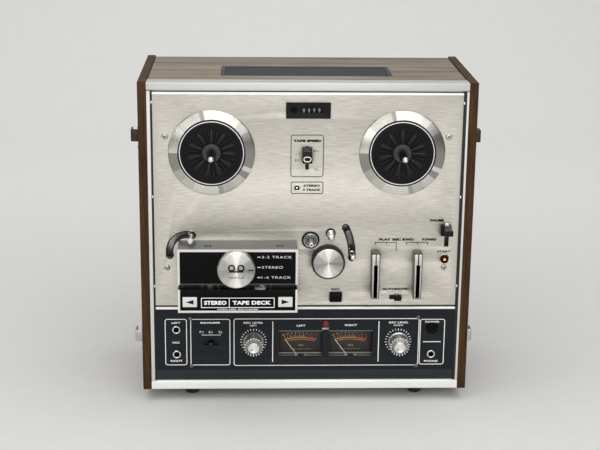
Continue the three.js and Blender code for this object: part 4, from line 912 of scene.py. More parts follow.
def build_amplifier_panel():
    low, high = node_box("amplifier_panel")
    crease = 26.2
    panel = Piece("amplifier_panel_sheet")
    holes = [rectangle(x - 28.1, x + 28.1, *METER_WINDOW, 0.5) for x in METER_X.values()]
    holes += [circle(*centre, 3.5, 36) for centre in SOCKETS]
    holes += [circle(x, LEVEL_KNOB_Z, 3.6, 24) for x in LEVEL_KNOB_X.values()]
    holes += [rectangle(-127, -109, 59, 65.4, 0.8), circle(*POWER_BUTTON, 7.3, 48)]
    panel.plate([rectangle(low.x, high.x, crease, 106.9, 0.3)] + holes, 0, high.y, SLATE, 0.15)
    panel.rail([(0, crease), (1.2, low.z), (high.y, low.z), (high.y, crease)], low.x, high.x, SLATE_LOW,
               0.12)
    panel.rail([(-0.7, 106.9), (-0.7, 108.6), (0.3, high.z), (high.y, high.z), (high.y, 106.9)],
               low.x, high.x, STRIP_METAL_LIT, 0.15)
    panel.done("slate", "amplifier_panel")

    screws = Piece("amplifier_screws")
    for i, (x, z) in enumerate(((-143.5, 94.4), (-142.6, 31.8), (140.7, 95.6), (140, 31.1))):
        screws.screw(x, z, 0, 4.8, DARK_STEEL, turn=10 + 37 * i)
    screws.done("steel")

    ink = Print("amplifier_labels", WHITE_INK)
    for box in ((-174.8, -148.4, 33.1, 93.7), (-143.2, -94.5, 32.9, 93.6), (-89.3, 141.9, 32, 94),
                (143.7, 174.2, 33, 93)):
        ink.line(rectangle(*box, 2.6), 0.95, True)
    for x in (-41, 91.7):
        ink.line([(x, 36.5), (x, 90.5)], 1.1)
    ink.line([(147.8, 63.1), (169.9, 63.1)], 1.1)
    for words, x, z in (("LEFT", -161.3, 88.9), ("MIC", -161.6, 62.8), ("RIGHT", -161.2, 38.4),
                        ("LEFT", -5.8, 85.0), ("RIGHT", 56.7, 85.6), ("POWER", 158.7, 89.7),
                        ("PHONE", 158.5, 37.2), ("REC LEVEL", -65.2, 88.9), ("REC LEVEL", 116.5, 88.9)):
        ink.text(words, x, z, 2.4, 1.6, 0.03)
    ink.text("LEFT", -65.2, 85.2, 2.0, 1.5, 0.02)
    ink.text("RIGHT", 116.5, 85.2, 2.0, 1.5, 0.02)
    ink.text("REC", 25.2, 80.9, 2.2, 1.5, 0.02)
    ink.text("EQUALIZER", -118.6, 88.9, 2.5, 1.75, 0.06)
    for x, speed in ((-130, "712"), (-119, "334"), (-107.4, "178")):
        ink.fraction(*speed, x, 76.7, 2.6)
    ink.line([(-129.1, 74.4), (-129.1, 72.8), (-106.4, 72.8), (-106.4, 74.4)], 0.6)
    ink.line([(-118, 74.4), (-118, 72.8)], 0.6)
    for x in LEVEL_KNOB_X.values():
        for i in range(21):
            angle = 225 - 13.5 * i
            inner = 14.2 if i % 5 else 13.6
            ink.line([polar(x, LEVEL_KNOB_Z, inner, angle), polar(x, LEVEL_KNOB_Z, 16.6, angle)], 0.75)
    ink.done("digit_white")

    nuts = Piece("socket_nuts")
    for x, z in SOCKETS:
        nuts.turned(x, z, [(3.45, 9.0), (3.45, -1.4), (4.0, -1.9), (4.7, -1.9), (5.3, -1.2), (5.3, 0)],
                    CHROME, 40, 0.2)
        nuts.turned(x, z, [(3.4, 2.0), (3.4, 9.4), (0, 9.4)], BLACK_MATTE, 28, 0)
    nuts.done("chrome")

    lamp = Piece("record_lamp")
    lamp.turned(*RECORD_LAMP, [(4.6, 0), (4.6, -0.9), (3.9, -2.2), (2.4, -3.1), (0, -3.5)], LAMP_RED, 40,
                0.3)
    lamp.done("black_plastic")


# ---------------------------------------------------------------- reels
def build_reel(side):
    x = REEL_X[side]
    centre = (x, REEL_Z)
    body = f"reel_{side}"
    turned_piece(
        f"reel_ring_{side}_spun", "cabinet", centre, "spun_aluminium", [f"reel_ring_{side}"],
        ([(40.9, -0.3), (40.9, -3.5), (41.3, -3.6), (51.0, -1.35), (52.0, -0.9), (52.2, -0.3)],
         SPUN_RING_PAINTED_REFLECTIONS, 128, 0.25),
        ([(41.0, 3.9), (41.0, -3.4), (40.3, -3.3), (40.3, 3.9)], BLACK_MATTE, 128, 0))
    turned_piece(
        f"reel_rim_{side}", body, centre, "spun_aluminium", [],
        ([(39.0, 3.9), (39.0, -3.2)], BLACK_MATTE, 128, 0),
        ([(39.0, -3.2), (39.0, -3.7), (38.7, -4.0), (38.1, -4.0), (37.9, -3.6), (37.9, -3.0)],
         STRIP_METAL_LIT, 128, 0.12),
        ([(37.9, -3.2), (37.4, -1.5)], BLACK_MATTE, 128, 0))

    table = Piece(f"reel_table_{side}_plate", body, origin=(x, 0, REEL_Z))
    grooves = [(radius - step, depth) for radius in (35.0, 33.2, 31.4) for step, depth in
               ((0, -2.7), (0.4, -2.2), (0.8, -2.7))]
    table.turned(*centre, [(37.7, 4), (37.7, -2.4), *grooves, (29.2, -2.7), (28.8, -1.6), (12.2, -1.6),
                           (11.8, -3.2), (0, -3.2)], BLACK, 128, 0.12)
    table.turned(*centre, [(38.6, 4), (10, 6), (8, 14), (4, 14), (4, 40), (0, 40)], BLACK, 48, 0.2)
    for i in range(32):
        table.block(12.6, 28.4, -2.85, -1.2, -0.62, 0.62, BLACK_GLOSS if i % 3 else RIB, 0.3,
                    turn=placed(x, 0, REEL_Z, i * 11.25, "Y"))
    table.done("black_plastic", f"reel_table_{side}")

    hub = Piece(f"reel_hub_{side}", body, origin=(x, 0, REEL_Z))
    hub.turned(*centre, [(11.2, -3.0), (11.2, -4.0), (10.2, -4.6), (5.6, -4.9), (5.2, -4.5), (0, -4.5)],
               HUB, 64, 0.3)
    hub.turned(*centre, [(4.0, -4.0), (4.0, -32.5), (3.7, -33.6), (0, -33.6)], BLACK_GLOSS, 40, 0.2)
    for fin in (90, 210, 330):
        hub.block(0, 5.6, -33.0, -7.0, -1.1, 1.1, BLACK_GLOSS, 0.5, 3,
                  turn=placed(x, 0, REEL_Z, -fin, "Y"))
    hub.turned(*centre, [(3.9, -33.0), (3.9, -35.5), (3.5, -37.0), (2.6, -39.0), (1.6, -39.8), (0, -40.0)],
               CHROME, 40, 0.4)
    hub.done("black_plastic")


# ---------------------------------------------------------------- tape path
def build_tape_path():
    turned_piece(
        "capstan_dish", "cabinet", CAPSTAN, "chrome", ["capstan_bearing"],
        ([(10.4, 6), (10.4, -1.9), (9.9, -2.5), (9.0, -2.5), (8.8, -2.0)], BLACK, 64, 0.3),
        ([(8.9, -1.6), (8.5, -2.2), (7.6, -1.8), (6.6, 0.6)], CHROME, 64, 0.3),
        ([(6.6, 0.6), (4.6, 0.9), (4.2, -0.6), (3.5, -0.8), (3.45, 6)], DARK_STEEL, 64, 0.3),
        ([(7.0, 5), (7.0, 28), (3.5, 28)], SATIN_STEEL, 40, 0.2))
    turned_piece(
        "capstan_shaft", "capstan", CAPSTAN, "steel", ["capstan_flywheel"],
        ([(3.0, 30), (3.0, -22.2), (2.4, -22.9), (1.2, -22.9), (1.0, -21.0)], CHROME, 48, 0.3),
        ([(1.2, -21.6), (0, -21.6)], BLACK_MATTE, 24, 0),
        ([(9, 30), (9, 36), (36, 36), (36, 31), (45, 31), (45, 49), (3, 49), (3, 55), (0, 55)],
         SATIN_STEEL, 96, 0.6))

    post = Piece("guide_post")
    post.turned(*GUIDE_POST, [(6.1, 0), (6.1, -0.8), (5.4, -1.3), (4.4, -1.3)], BLACK, 48, 0.2)
    post.turned(*GUIDE_POST, [(4.6, -0.6), (4.6, -4.0), (3.3, -4.6), (3.3, -9.5), (4.3, -10.0),
                              (4.3, -11.0), (2.5, -11.6), (2.5, -16.6), (4.3, -17.2), (4.3, -18.4),
                              (3.6, -20.6), (2.2, -21.8), (0, -22.2)], CHROME, 48, 0.3)
    post.done("chrome")

    arm = Piece("pinch_arm_link", "pinch_arm")
    arm.plate([capsule(*PINCH_PIVOT, *PINCH_ROLLER, 10), circle(*PINCH_PIVOT, 2.4, 24)], 5, 8, SATIN_STEEL,
              0.3)
    arm.turned(*PINCH_ROLLER, [(3, 6), (3, -13.6), (2.6, -14), (0, -14)], CHROME, 32, 0.2)
    arm.done("steel", "pinch_arm")
    turned_piece(
        "pinch_roller_tyre", "pinch_roller", PINCH_ROLLER, "black_rubber", ["pinch_roller"],
        ([(3.4, -3.0), (19.6, -3.0), (20.5, -4.0), (20.5, -15.6), (19.6, -16.8), (18.6, -17.0),
          (18.4, -16.0)], RUBBER, 96, 0.5),
        ([(18.5, -15.8), (18.5, -16.9), (18.0, -17.3), (16.5, -17.4), (0.8, -17.5), (0.5, -17.3),
          (0, -17.3)], SPUN_CAP_PAINTED_REFLECTIONS, 96, 0.2))
    build_tension_arms()
    build_heads()


def build_tension_arms():
    pivot, reach = LEFT_ARM_PIVOT, LEFT_ARM_REACH
    pin = polar(*pivot, reach, 76)
    left = Piece("tension_arm_left_link", "tension_arm_left")
    left.plate([capsule(*pivot, *pin, 8), circle(*pivot, 2.4, 24)], 10, 12.5, SATIN_STEEL, 0.3)
    left.turned(*pin, [(2.9, 10.5), (2.9, -4.0), (2.3, -4.8), (2.3, -24.6)], CHROME, 40, 0.3)
    left.turned(*pin, [(2.0, -24.0), (3.3, -24.6), (3.3, -26.0), (2.9, -26.6), (3.1, -28.0), (2.7, -30.2),
                       (1.5, -31.0), (0, -31.0)], IVORY, 40, 0.4)
    left.done("chrome", "tension_arm_left")

    pivot, reach = RIGHT_ARM_PIVOT, RIGHT_ARM_REACH
    pin = polar(*pivot, reach, 1.8)
    elbow = (18.0, 150.0)
    inner_reach = 69.5
    right = Piece("tension_arm_right_link", "tension_arm_right")
    # Each plate is a hair thinner than the last, so that no two faces share a plane.
    for inset, outline in (
            (0.00, [capsule(*pivot, *elbow, 8), circle(*pivot, 2.4, 24)]),
            (0.02, [capsule(*elbow, *pin, 7)]),
            (0.04, [capsule(*polar(*pivot, inner_reach, 1.8), *pin, 6)]),
            (0.06, [arc_slot(*pivot, inner_reach, 6, 1.8, 21.8)])):
        right.plate(outline, 10 + inset, 12.5 - inset, SATIN_STEEL, 0.3)
    right.plate([arc_slot(*pivot, reach, 12, 12.5, 17.0)], 10.0, 12.5, COVER_METAL, 0.3)
    right.turned(*pin, [(3.4, 10.5), (3.4, -1.0), (2.4, -1.8), (2.4, -16.4), (3.2, -17.0), (3.2, -19.6),
                        (2.8, -20.2), (2.8, -21.2), (1.8, -22.0), (0, -22.0)], CHROME, 40, 0.3)
    right.done("chrome", "tension_arm_right")


def build_heads():
    """The black head cover in two halves, with its ivory frame, badge and track knob."""
    frame_width = 2.7
    low, high = node_box("head_cover_upper")
    face_y = low.y
    upper = Piece("head_cover_upper_shell")
    left, right, top = low.x + frame_width, high.x - frame_width, high.z - frame_width
    upper.plate([[(low.x, low.z), (left, low.z), (left, top), (right, top), (right, low.z), (high.x, low.z),
                  (high.x, high.z), (low.x, high.z)]], face_y, face_y + 2.4, IVORY, 0.3)
    upper.plate([rectangle(left - 0.3, right + 0.3, low.z + 1.5, top + 0.3), circle(*TRACK_KNOB, 4.6, 32)],
                face_y + 0.7, face_y + 2.2, BLACK_GLOSS, 0.1)
    upper.block(left, right, face_y + 0.1, face_y + 2.4, low.z, low.z + 1.5, GREY_PLASTIC, 0.5, 3)
    upper.block(low.x + 0.1, high.x - 0.1, face_y + 2.2, high.y, high.z - 1.8, high.z - 0.1, COVER_METAL,
                0.4, 3)
    for x in (low.x + 0.1, high.x - 1.9):
        upper.block(x, x + 1.8, face_y + 2.2, high.y, low.z, high.z - 0.3, GREY_PLASTIC, 0.4)
    upper.done("black_plastic", "head_cover_upper")

    arrows = Piece("cover_arrows")
    for x in (-121.0, -34.0):
        for dx in (-2.6, 2.2):
            outline = [(x + dx - 2.4, -24.0), (x + dx + 2.4, -28.0), (x + dx + 2.4, -20.0)]
            arrows.plate([outline], high.z - 0.15, high.z - 0.02, BLACK_INK, 0.02, lying=True)
    arrows.done("black_plastic")

    low, high = node_box("head_cover_lower")
    lower = Piece("head_cover_lower_shell")
    base = low.z + frame_width
    lower.plate([[(low.x, low.z), (high.x, low.z), (high.x, high.z), (right, high.z), (right, base),
                  (left, base), (left, high.z), (low.x, high.z)]], face_y, face_y + 2.4, IVORY, 0.3)
    lower.plate([rectangle(left - 0.3, right + 0.3, base - 0.3, high.z)],
                face_y + 0.6, face_y + 2.3, BLACK_GLOSS, 0.15)
    lower.block(low.x + 0.1, high.x - 0.1, face_y + 2.2, high.y, low.z + 0.1, low.z + 1.8, GREY_PLASTIC,
                0.4)
    for x in (low.x + 0.1, high.x - 1.9):
        lower.block(x, x + 1.8, face_y + 2.2, high.y, low.z + 0.3, high.z, GREY_PLASTIC, 0.4)
    for x in (-150.8, -35.4):
        lower.block(x, x + 17.3, face_y - 0.05, face_y + 1.2, 124.1, 136.8, IVORY, 0.7, 3)
    lower.done("black_plastic", "head_cover_lower")

    # A small pale ivory disc in the tape slot, shaped as a capped roller: painted highlight standing in for
    # the glint at the slot's edge.
    slot_glint = Piece("tape_slot_glint")
    slot_glint.turned(0, 0, [(0, 143.4), (6.0, 143.4), (6.6, 144.2), (6.6, 145.4), (6.0, 146.2), (0, 146.2)],
                IVORY, 48, 0.3, upright=(-57.0, -32.0))
    slot_glint.done("trim_silver")

    marks = Print("tile_arrows", BLACK_INK, face_y - 0.1)
    marks.fill([(-147.0, 130.4), (-137.6, 127.4), (-137.6, 133.4)])
    marks.fill([(-22.0, 130.6), (-31.4, 133.6), (-31.4, 127.6)])
    marks.done("black_plastic")

    ink = Print("cover_labels", WHITE_INK, face_y + 0.5)
    ink.line(rectangle(-128.2, -40.3, 123.4, 135.5, 0.4), 0.9, True)
    ink.line([(-94.6, 123.6), (-94.6, 135.3)], 0.9)
    ink.text("STEREO", -111.4, 129.5, 5.2, 1.15, 0.05)
    ink.text("TAPE DECK", -67.4, 129.5, 5.0, 1.35, 0.05)
    ink.text("OPEN REEL RECORDER", -84.2, 121.0, 1.8, 1.9, 0.02)
    for z, words in ((187.2, "3-2 TRACK"), (174.4, "STEREO"), (161.6, "1-4 TRACK")):
        ink.line([(-60.6, z), (-57.0, z)], 1.0)
        ink.text(words, -55.4, z, 3.0, 1.55, -0.006, "LEFT", 1.14)
    ink.done("digit_white")

    turned_piece(
        "track_knob_spun", "track_knob", TRACK_KNOB, "spun_aluminium", ["track_knob"],
        ([(0, -53), (21.6, -52.9), (22.7, -51.9), (22.7, -43.0), (22.2, -42.0), (4.2, -42), (4, -35),
          (0, -35)], SPUN_CAP_PAINTED_REFLECTIONS, 128, 0.3))
    pointer = Print("track_knob_mark", BLACK_INK, -53.06, "track_knob")
    pointer.line([(-71.6, 174.5), (-65.0, 174.5)], 1.3)
    for x in (-91.6, -80.4):
        pointer.line(circle(x, 177.4, 3.4, 36), 1.9, True)
    pointer.line([(-94.6, 172.8), (-77.4, 172.8)], 1.8)
    pointer.text("TRACK", -86, 165.4, 2.3, 1.9, 0.01)
    pointer.done("black_plastic")


# ---------------------------------------------------------------- counter and switches
def build_counter():
    low, high = node_box("counter_housing")
    plate = Piece("counter_plate")
    plate.plate([rectangle(low.x, high.x, low.z, high.z, 0.4), rectangle(-8.4, 16.4, 355.3, 360.7, 0.4),
                 circle(*COUNTER_RESET, 3.4, 36)], low.y, low.y + 1.5, BLACK, 0.2)
    plate.block(-9.9, 17.9, -0.8, 20, 348.4, 350.4, BLACK_MATTE, 0.2)
    plate.block(-9.9, 17.9, -0.8, 20, 365.6, 367.6, BLACK_MATTE, 0.2)
    for x in (-9.9, 16.5):
        plate.block(x, x + 1.4, -0.8, 20, 348.4, 367.6, BLACK_MATTE, 0.2)
    for x in (-2.2, 4.0, 10.2):
        plate.block(x - 0.45, x + 0.45, -1.6, 0.6, 354.6, 361.4, BLACK, 0.1)
    plate.done("black_plastic", "counter_housing")

    wheels = Piece("counter_wheel_set", "counter_wheels", origin=(4, COUNTER_AXIS_Y, COUNTER_Z))
    wheel_radius = 7.2
    digits = Piece("counter_digits", "counter_wheels", origin=(4, COUNTER_AXIS_Y, COUNTER_Z))
    for column in range(4):
        x = -5.3 + 6.2 * column
        barrel = bmesh.new()
        bmesh.ops.create_cone(barrel, cap_ends=True, segments=40, radius1=wheel_radius - 0.1,
                              radius2=wheel_radius - 0.1, depth=5.6)
        wheels.add(barrel, BLACK, placed(x, COUNTER_AXIS_Y, COUNTER_Z, 90, "Y"))
        for step in range(10):
            number = Print("number", WHITE_INK, COUNTER_AXIS_Y - wheel_radius - 0.02)
            number.text(str((10 - step) % 10), x, COUNTER_Z, 3.9, 0.95, 0.01)
            digits.add(number.piece.mesh, WHITE_INK, about(0, COUNTER_AXIS_Y, COUNTER_Z, 36 * step, "X"))
    wheels.done("black_plastic", "counter_wheels")
    digits.done("digit_white")

    reset = Piece("counter_reset_cap", "counter_reset_button")
    reset.turned(*COUNTER_RESET, [(4.5, 7), (4.5, 5), (3.0, 5), (3.0, -3.6), (2.5, -4.3), (1.2, -4.0),
                                  (0, -3.9)], BLACK_GLOSS, 40, 0.3)
    reset.done("black_plastic", "counter_reset_button")


def build_switches():
    speed = Piece("speed_knob_cap", "speed_knob")
    speed.rail([(-0.4, 294.2), (-10.4, 295.2), (-10.5, 305.4), (-9.4, 306.4), (-2.0, 313.0), (-0.4, 313.2)],
               -6.7, 5.1, BLACK, 0.5)
    speed.block(-5.8, 4.2, 4.6, 6, 294, 330, BLACK_MATTE, 0.2)
    speed.block(-2.5, 0.9, -1.4, 6, 302, 308, BLACK, 0.2)
    for i in range(3):
        speed.block(-5.6, 4.0, -6.6 + 1.9 * i, -6.1 + 1.9 * i, 306.6 + 1.6 * i, 310.2 + 1.5 * i,
                    GREY_PLASTIC, 0.2)
    speed.done("black_plastic", "speed_knob")
    mark = Print("speed_knob_mark", WHITE_INK, -10.56, "speed_knob")
    mark.line(rectangle(-5.0, 3.4, 297.6, 303.2, 2.6), 1.1, True)
    mark.done("digit_white")

    for name, x in LEVER_X.items():
        build_lever(name, x)

    auto = Piece("auto_stop_cap", "auto_stop_knob")
    auto.block(109.1, 118.2, -7, -0.4, 119.4, 125.4, BLACK_GLOSS, 0.9, 3)
    for i in range(3):
        auto.block(111.0 + 2.1 * i, 111.9 + 2.1 * i, -7.3, -6.4, 120.2, 124.6, BLACK, 0.2)
    auto.block(110, 117.3, -1.4, 6, 120, 124.8, BLACK, 0.2)
    auto.block(101, 121, 4.6, 6, 117.4, 127.4, BLACK_MATTE, 0.2)
    auto.done("black_plastic", "auto_stop_knob")

    pause = Piece("pause_knob_cap", "pause_knob")
    pause.block(166.7, 177.3, -20, -4, 206.4, 213, BLACK, 0.8, 3)
    # A grey wedge on top of the black knob: its grey is partly painted light falling on the top face.
    pause.rail([(-19.2, 212.9), (-8.0, 213.2), (-2.4, 216.6), (-0.6, 216.6), (-0.6, 206), (-19.0, 206.6)],
               167.0, 177.0, GREY_PLASTIC, 0.4)
    pause.block(163.7, 168, -8, -0.4, 203.5, 217.4, BLACK, 0.7, 3)
    pause.block(168.6, 173.4, -7.0, -0.8, 215.0, 219.6, CHROME, 0.6, 3)
    pause.block(169.8, 174.2, -1.4, 6, 205, 213, BLACK, 0.2)
    pause.block(167, 177, 4.6, 6, 202, 232, BLACK_MATTE, 0.2)
    pause.done("black_plastic", "pause_knob")

    start = Piece("start_button_cap", "start_button")
    start.turned(*START_BUTTON, [(6.5, 8), (6.5, 6.9), (4.8, 6.9), (4.8, -4.2), (4.2, -5.0), (3.0, -4.9),
                                 (1.6, -4.0)], BLACK_GLOSS, 48, 0.3)
    start.turned(*START_BUTTON, [(1.7, -3.8), (1.6, -4.4), (1.0, -4.8), (0, -4.9)], LAMP_LIT, 32, 0.2)
    start.done("black_plastic", "start_button")
    collar = Piece("start_collar")
    collar.turned(*START_BUTTON, [(5.1, 0.2), (5.1, -0.7), (5.6, -0.9), (6.1, -0.5), (6.1, 0)],
                  CHROME, 48, 0.15)
    collar.done("chrome")

    rec = Piece("rec_button_cap", "rec_button")
    rec.rail([(-3.6, 117.0), (-4.0, 118.0), (-4.0, 126.2), (-2.4, 129.0), (8, 129.0), (8, 117.0)],
             29.5, 44.1, BLACK_GLOSS, 0.5)
    rec.block(28.2, 45.4, 4.4, 8, 115.6, 130.4, BLACK, 0.2)
    rec.done("black_plastic", "rec_button")


def build_lever(name, x):
    """A lever with dark flanks, their colour partly painted shade, a bright face, a black insert, and a
    black strip high on the face that is painted shade for the groove of the fork.
    """
    low_z, high_z = 126.0, 184.4
    lever = Piece(f"{name}_bar", name, origin=(x, 0, LEVER_PIVOT_Z))

    def outline(inset):
        bottom, top = 4.7 - inset, 5.6 - inset
        return [(x - bottom, low_z + inset), (x + bottom, low_z + inset), (x + top, high_z - 1.8),
                (x + top - 1.6, high_z - inset), (x - top + 1.6, high_z - inset), (x - top, high_z - 1.8)]

    lever.plate([outline(0.0)], -18.2, -1.2, LEVER_FLANK_SHADED, 0.6)
    lever.plate([outline(1.0)], -19.0, -17.4, LEVER_FACE, 0.4)
    lever.block(x - 2.7, x + 2.7, -19.0, -17.0, 127.2, 170.2, BLACK_GLOSS, 0.35, 2)
    # A black strip on the face: painted shade standing in for the groove between the fork's prongs.
    lever.block(x - 0.8, x + 0.8, -19.06, -17.0, 170.0, 183.6, BLACK_MATTE, 0.1)
    lever.turned(x, LEVER_PIVOT_Z, [(5, 14), (5, -2)], SATIN_STEEL, 40, 0)
    lever.done("chrome", name)


# ---------------------------------------------------------------- meters and level knobs
def build_amplifier_controls():
    eq = Piece("eq_knob_cap", "eq_knob")
    eq.block(-121.3, -114.7, -4.9, 6, 59.6, 64.8, BLACK_GLOSS, 0.7, 3)
    for i in range(3):
        eq.block(-119.9 + 1.6 * i, -119.3 + 1.6 * i, -5.0, -4.4, 60.2, 64.2, GREY_PLASTIC, 0.15)
    eq.block(-133, -103, 4.6, 6, 57.2, 67.2, BLACK_MATTE, 0.2)
    eq.done("black_plastic", "eq_knob")

    for side, x in LEVEL_KNOB_X.items():
        build_level_knob(side, x)

    power = Piece("power_button_cap", "power_button")
    power.turned(*POWER_BUTTON, [(8.6, 7), (8.6, 4.3), (6.9, 4.3), (6.9, -2.6), (6.2, -3.5), (5.0, -3.3),
                                 (2.5, -2.7), (0, -2.5)], BLACK_GLOSS, 64, 0.4)
    power.turned(*POWER_BUTTON, [(0, 12), (3, 12), (3, 7), (8.6, 7)], BLACK, 32, 0)
    power.done("black_plastic", "power_button")

    for side, x in METER_X.items():
        build_meter(side, x)


def build_level_knob(side, x):
    """A conical knob with a fluted flank and a turned face."""
    z = LEVEL_KNOB_Z
    name = f"level_knob_{side}"
    knob = Piece(f"{name}_cap", name, origin=(x, 0, z))
    knob.turned(x, z, [(12.7, -1.0), (12.8, -2.0), (12.6, -4.6), (11.6, -5.6)], KNOB_SILVER, 96, 0.3)
    knob.turned(x, z, [(11.6, -5.6), (10.9, -8.0), (8.0, -20.4), (7.2, -22.4), (7.2, -23.8)], KNOB_SILVER,
                96, 0.3)
    knob.turned(x, z, [(7.2, -23.8), (6.5, -25.0), (5.4, -25.0), (5.0, -24.7), (0, -24.7)], SPUN_BRIGHT, 96,
                0.2)
    flutes = 20
    lean = math.degrees(math.atan2(11.4 - 7.3, 22.0 - 6.4))
    for i in range(flutes):
        spin = placed(x, 0, z, i * 360 / flutes, "Y") @ placed(9.3, -14.2, 0, lean, "Z")
        knob.block(-0.9, 1.0, -7.6, 7.6, -0.72, 0.72, KNOB_SILVER, 0.35, 3, turn=spin)
    knob.turned(x, z, [(3, -1), (3, 14), (0, 14)], SATIN_STEEL, 24, 0)
    knob.done("spun_aluminium", name)
    pointer = Piece(f"{name}_pointer", name)
    px, pz = polar(x, z, 2.0, 225)
    qx, qz = polar(x, z, 6.0, 225)
    pointer.plate([capsule(px, pz, qx, qz, 0.8)], -24.95, -24.6, BLACK_INK, 0.05)
    pointer.done("black_plastic")


def build_meter(side, x):
    node = f"vu_meter_{side}"
    case = Piece(f"{node}_case")
    low, high = node_box(node)
    case.block(low.x, high.x, 11, high.y, low.z, high.z, BLACK, 0.8)
    for x0, x1 in ((low.x, low.x + 1.4), (high.x - 1.4, high.x)):
        case.block(x0, x1, low.y, 11.5, low.z, high.z, BLACK, 0.3)
    for z0, z1 in ((low.z, low.z + 1.4), (high.z - 1.4, high.z)):
        case.block(low.x, high.x, low.y, 11.5, z0, z1, BLACK, 0.3)
    case.plate([rectangle(x - 27.6, x + 27.6, 36, 80.4)], 9.4, 10.9, METER_FACE, 0.1)
    case.block(x - 27.6, x + 27.6, 8.6, 9.5, 34.6, 46.2, METER_STRIP, 0.2)
    for z in (45.8, 41.6):
        case.block(x - 27.6, x + 27.6, 8.3, 9.2, z - 0.35, z + 0.35, METER_LINE, 0.1)
    case.turned(x, 41.0, [(4.2, 8.8), (4.0, 8.2), (2.6, 7.9), (0, 7.8)], METER_FACE, 48, 0.2)
    case.plate([rectangle(x - 28.1, x + 28.1, *METER_WINDOW, 0.5),
                rectangle(x - 27.6, x + 27.6, 43.3, 78.0, 0.5)], -0.35, 3.6, METER_FACE, 0.1)
    case.block(x - 27.6, x + 27.6, -0.4, -0.1, 77.9, 78.3, METER_LINE, 0.05)
    case.done("meter_brown", node)
    screws = Piece(f"{node}_screws")
    for dx in (-6.4, 6.4):
        screws.screw(x + dx, 42.6, 8.4, 1.9, WHITE_PLASTIC, cross=False)
    screws.done("digit_white")

    arc_z, arc_r = -12.2, 77.8
    face = 9.3

    def scale(material, name, start, end, width, radius=arc_r):
        ink = Print(f"{node}_{name}", material, face)
        ink.line(circle(x, arc_z, radius, 30, start, end), width)
        return ink

    amber = scale(ORANGE_INK, "scale", 84, 104.5, 0.75)
    for i, angle in enumerate((104.2, 101.6, 99.2, 97.0, 94.8, 92.8, 90.9, 89.1, 87.4, 85.8)):
        reach = 4.4 if i % 2 == 0 else 2.8
        amber.line([polar(x, arc_z, arc_r, angle), polar(x, arc_z, arc_r + reach, angle)], 0.45)
    for angle, number in ((105.0, "20"), (101.2, "10"), (97.6, "7"), (94.2, "5"), (91.0, "3"), (87.8, "1")):
        amber.text(number, *polar(x, arc_z, arc_r + 6.4, angle), 1.7, 1.2)
    amber.line(circle(x, arc_z, arc_r - 2.4, 30, 76.5, 103.5), 0.45)
    amber.line([polar(x, arc_z, arc_r - 2.4, 103.5), polar(x, arc_z, arc_r, 104.5)], 0.5)
    amber.text("VU", x, 55.4, 2.5, 1.4, 0.0)
    amber.done("meter_brown")
    red = scale(RED_INK, "red_scale", 75.5, 84, 1.3)
    for angle in (82.4, 79.6, 75.6):
        red.line([polar(x, arc_z, arc_r, angle), polar(x, arc_z, arc_r + 3.6, angle)], 0.5)
    for angle, number in ((84.6, "0"), (80.6, "2"), (76.4, "3")):
        red.text(number, *polar(x, arc_z, arc_r + 6.0, angle), 1.7, 1.2)
    red.done("meter_brown")
    small = Print(f"{node}_small_print", AMBER_INK, face)
    small.text("LEVEL INDICATOR", x, 50.4, 1.1, 1.9, -0.01)
    small.done("meter_brown")

    name = f"vu_needle_{side}"
    needle = Piece(f"{name}_pointer", name)
    pivot_z, length, rest = 37.3, 32.5, 90 + 36.5
    tip = polar(x, pivot_z, length, rest)
    root = polar(x, pivot_z, 4, rest)
    needle.plate([[*capsule(*root, *tip, 0.62)]], 7.2, 7.8, NEEDLE, 0.08)
    needle.turned(x, pivot_z, [(0, 7), (2.4, 7), (2.4, 9), (0, 9)], NEEDLE, 32, 0.2)
    needle.plate([capsule(x, pivot_z, *root, 1.4)], 7.2, 7.8, NEEDLE, 0.08)
    needle.done("pale_needle", name)


# ---------------------------------------------------------------- studio
def build_studio():
    floor = moulded("studio_floor", (0.77, 0.77, 0.755), 0.7, 0.85, 0.02, 0.02)
    width, front, rise, radius = 3.4, -2.4, 2.4, 0.9
    back = 1.35
    bend = [math.radians(90 * i / 24) for i in range(25)]
    line = [(front, 0.0), *((back + radius * math.sin(t), radius - radius * math.cos(t)) for t in bend),
            (back + radius, rise)]
    sweep = bmesh.new()
    left = [sweep.verts.new((-width / 2, y, z)) for y, z in line]
    right = [sweep.verts.new((width / 2, y, z)) for y, z in line]
    for i in range(len(line) - 1):
        sweep.faces.new((left[i], right[i], right[i + 1], left[i + 1]))
    for face in sweep.faces:
        face.smooth = True
    mesh = bpy.data.meshes.new("studio_sweep")
    sweep.to_mesh(mesh)
    sweep.free()
    mesh.materials.append(floor)
    stand("studio_sweep", mesh)

    build_world()

    def softbox(name, place, aim, size_x, size_y, power):
        data = bpy.data.lights.new(name, "AREA")
        data.shape = "RECTANGLE"
        data.size, data.size_y = size_x, size_y
        data.energy = power
        lamp = stand(name, data)
        lamp.location = place
        lamp.rotation_euler = (Vector(aim) - Vector(place)).to_track_quat("-Z", "Y").to_euler()

    softbox("overhead", (0.0, -0.6, 2.1), (0.0, 0.0, 0.2), 2.8, 2.2, 24)
    softbox("front_high", (0.2, -2.5, 1.9), (0.0, 0.0, 0.25), 2.6, 1.2, 11)
    softbox("left_fill", (-2.3, -1.2, 1.0), (0.0, 0.0, 0.2), 0.5, 1.2, 4)
    softbox("front_low", (0.0, -2.6, 0.55), (0.0, 0.0, 0.0), 2.8, 0.8, 17)
    softbox("backdrop_wash", (0.0, 0.95, 1.0), (0.0, 1.95, 0.3), 2.6, 0.4, 5)


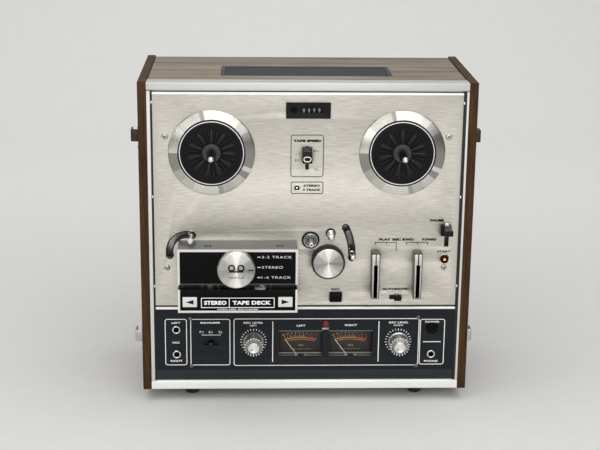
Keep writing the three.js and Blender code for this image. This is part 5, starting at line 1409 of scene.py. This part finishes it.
def build_world():
    """A room that is bright overhead and dim at the sides, behind a plain pale backdrop."""
    world = bpy.data.worlds.new("studio_world")
    world.use_nodes = True
    tree = world.node_tree
    background = tree.nodes["Background"]
    coordinates = tree.nodes.new("ShaderNodeTexCoord")
    parts = tree.nodes.new("ShaderNodeSeparateXYZ")
    ramp = tree.nodes.new("ShaderNodeValToRGB")
    lift = tree.nodes.new("ShaderNodeMapRange")
    lift.inputs["From Min"].default_value = -1.0
    set_stops(ramp, [(position, (level, 0.99 * level, 0.97 * level)) for position, level in
                     ((0.0, 0.10), (0.46, 0.16), (0.58, 0.30), (0.75, 0.80), (1.0, 1.0))])
    pale = tree.nodes.new("ShaderNodeBackground")
    pale.inputs["Color"].default_value = (0.66, 0.66, 0.64, 1.0)
    path = tree.nodes.new("ShaderNodeLightPath")
    mix = tree.nodes.new("ShaderNodeMixShader")
    join = tree.links.new
    join(coordinates.outputs["Generated"], parts.inputs[0])
    join(parts.outputs["Z"], lift.inputs["Value"])
    join(lift.outputs["Result"], ramp.inputs["Fac"])
    join(ramp.outputs["Color"], background.inputs["Color"])
    background.inputs["Strength"].default_value = 0.55
    join(path.outputs["Is Camera Ray"], mix.inputs[0])
    join(background.outputs[0], mix.inputs[1])
    join(pale.outputs[0], mix.inputs[2])
    join(mix.outputs[0], tree.nodes["World Output"].inputs["Surface"])
    bpy.context.scene.world = world


def place_camera():
    data = bpy.data.cameras.new("camera")
    data.sensor_width = 36.0
    data.lens = 83.485
    camera = stand("camera", data)
    yaw, pitch, roll = 0.039455, 0.281659, 0.0112362
    turn = Matrix.Rotation(-yaw, 4, "Z") @ Matrix.Rotation(math.pi / 2 - pitch, 4, "X") \
        @ Matrix.Rotation(roll, 4, "Z")
    camera.matrix_world = Matrix.Translation((-0.0729, -1.7029, 0.7051)) @ turn
    bpy.context.scene.camera = camera


build_cabinet()
build_rear()
build_deck_panel()
build_amplifier_panel()
for reel_side in REEL_X:
    build_reel(reel_side)
build_tape_path()
build_counter()
build_switches()
build_amplifier_controls()
build_studio()
place_camera()
bpy.context.scene.view_settings.view_transform = "Standard"
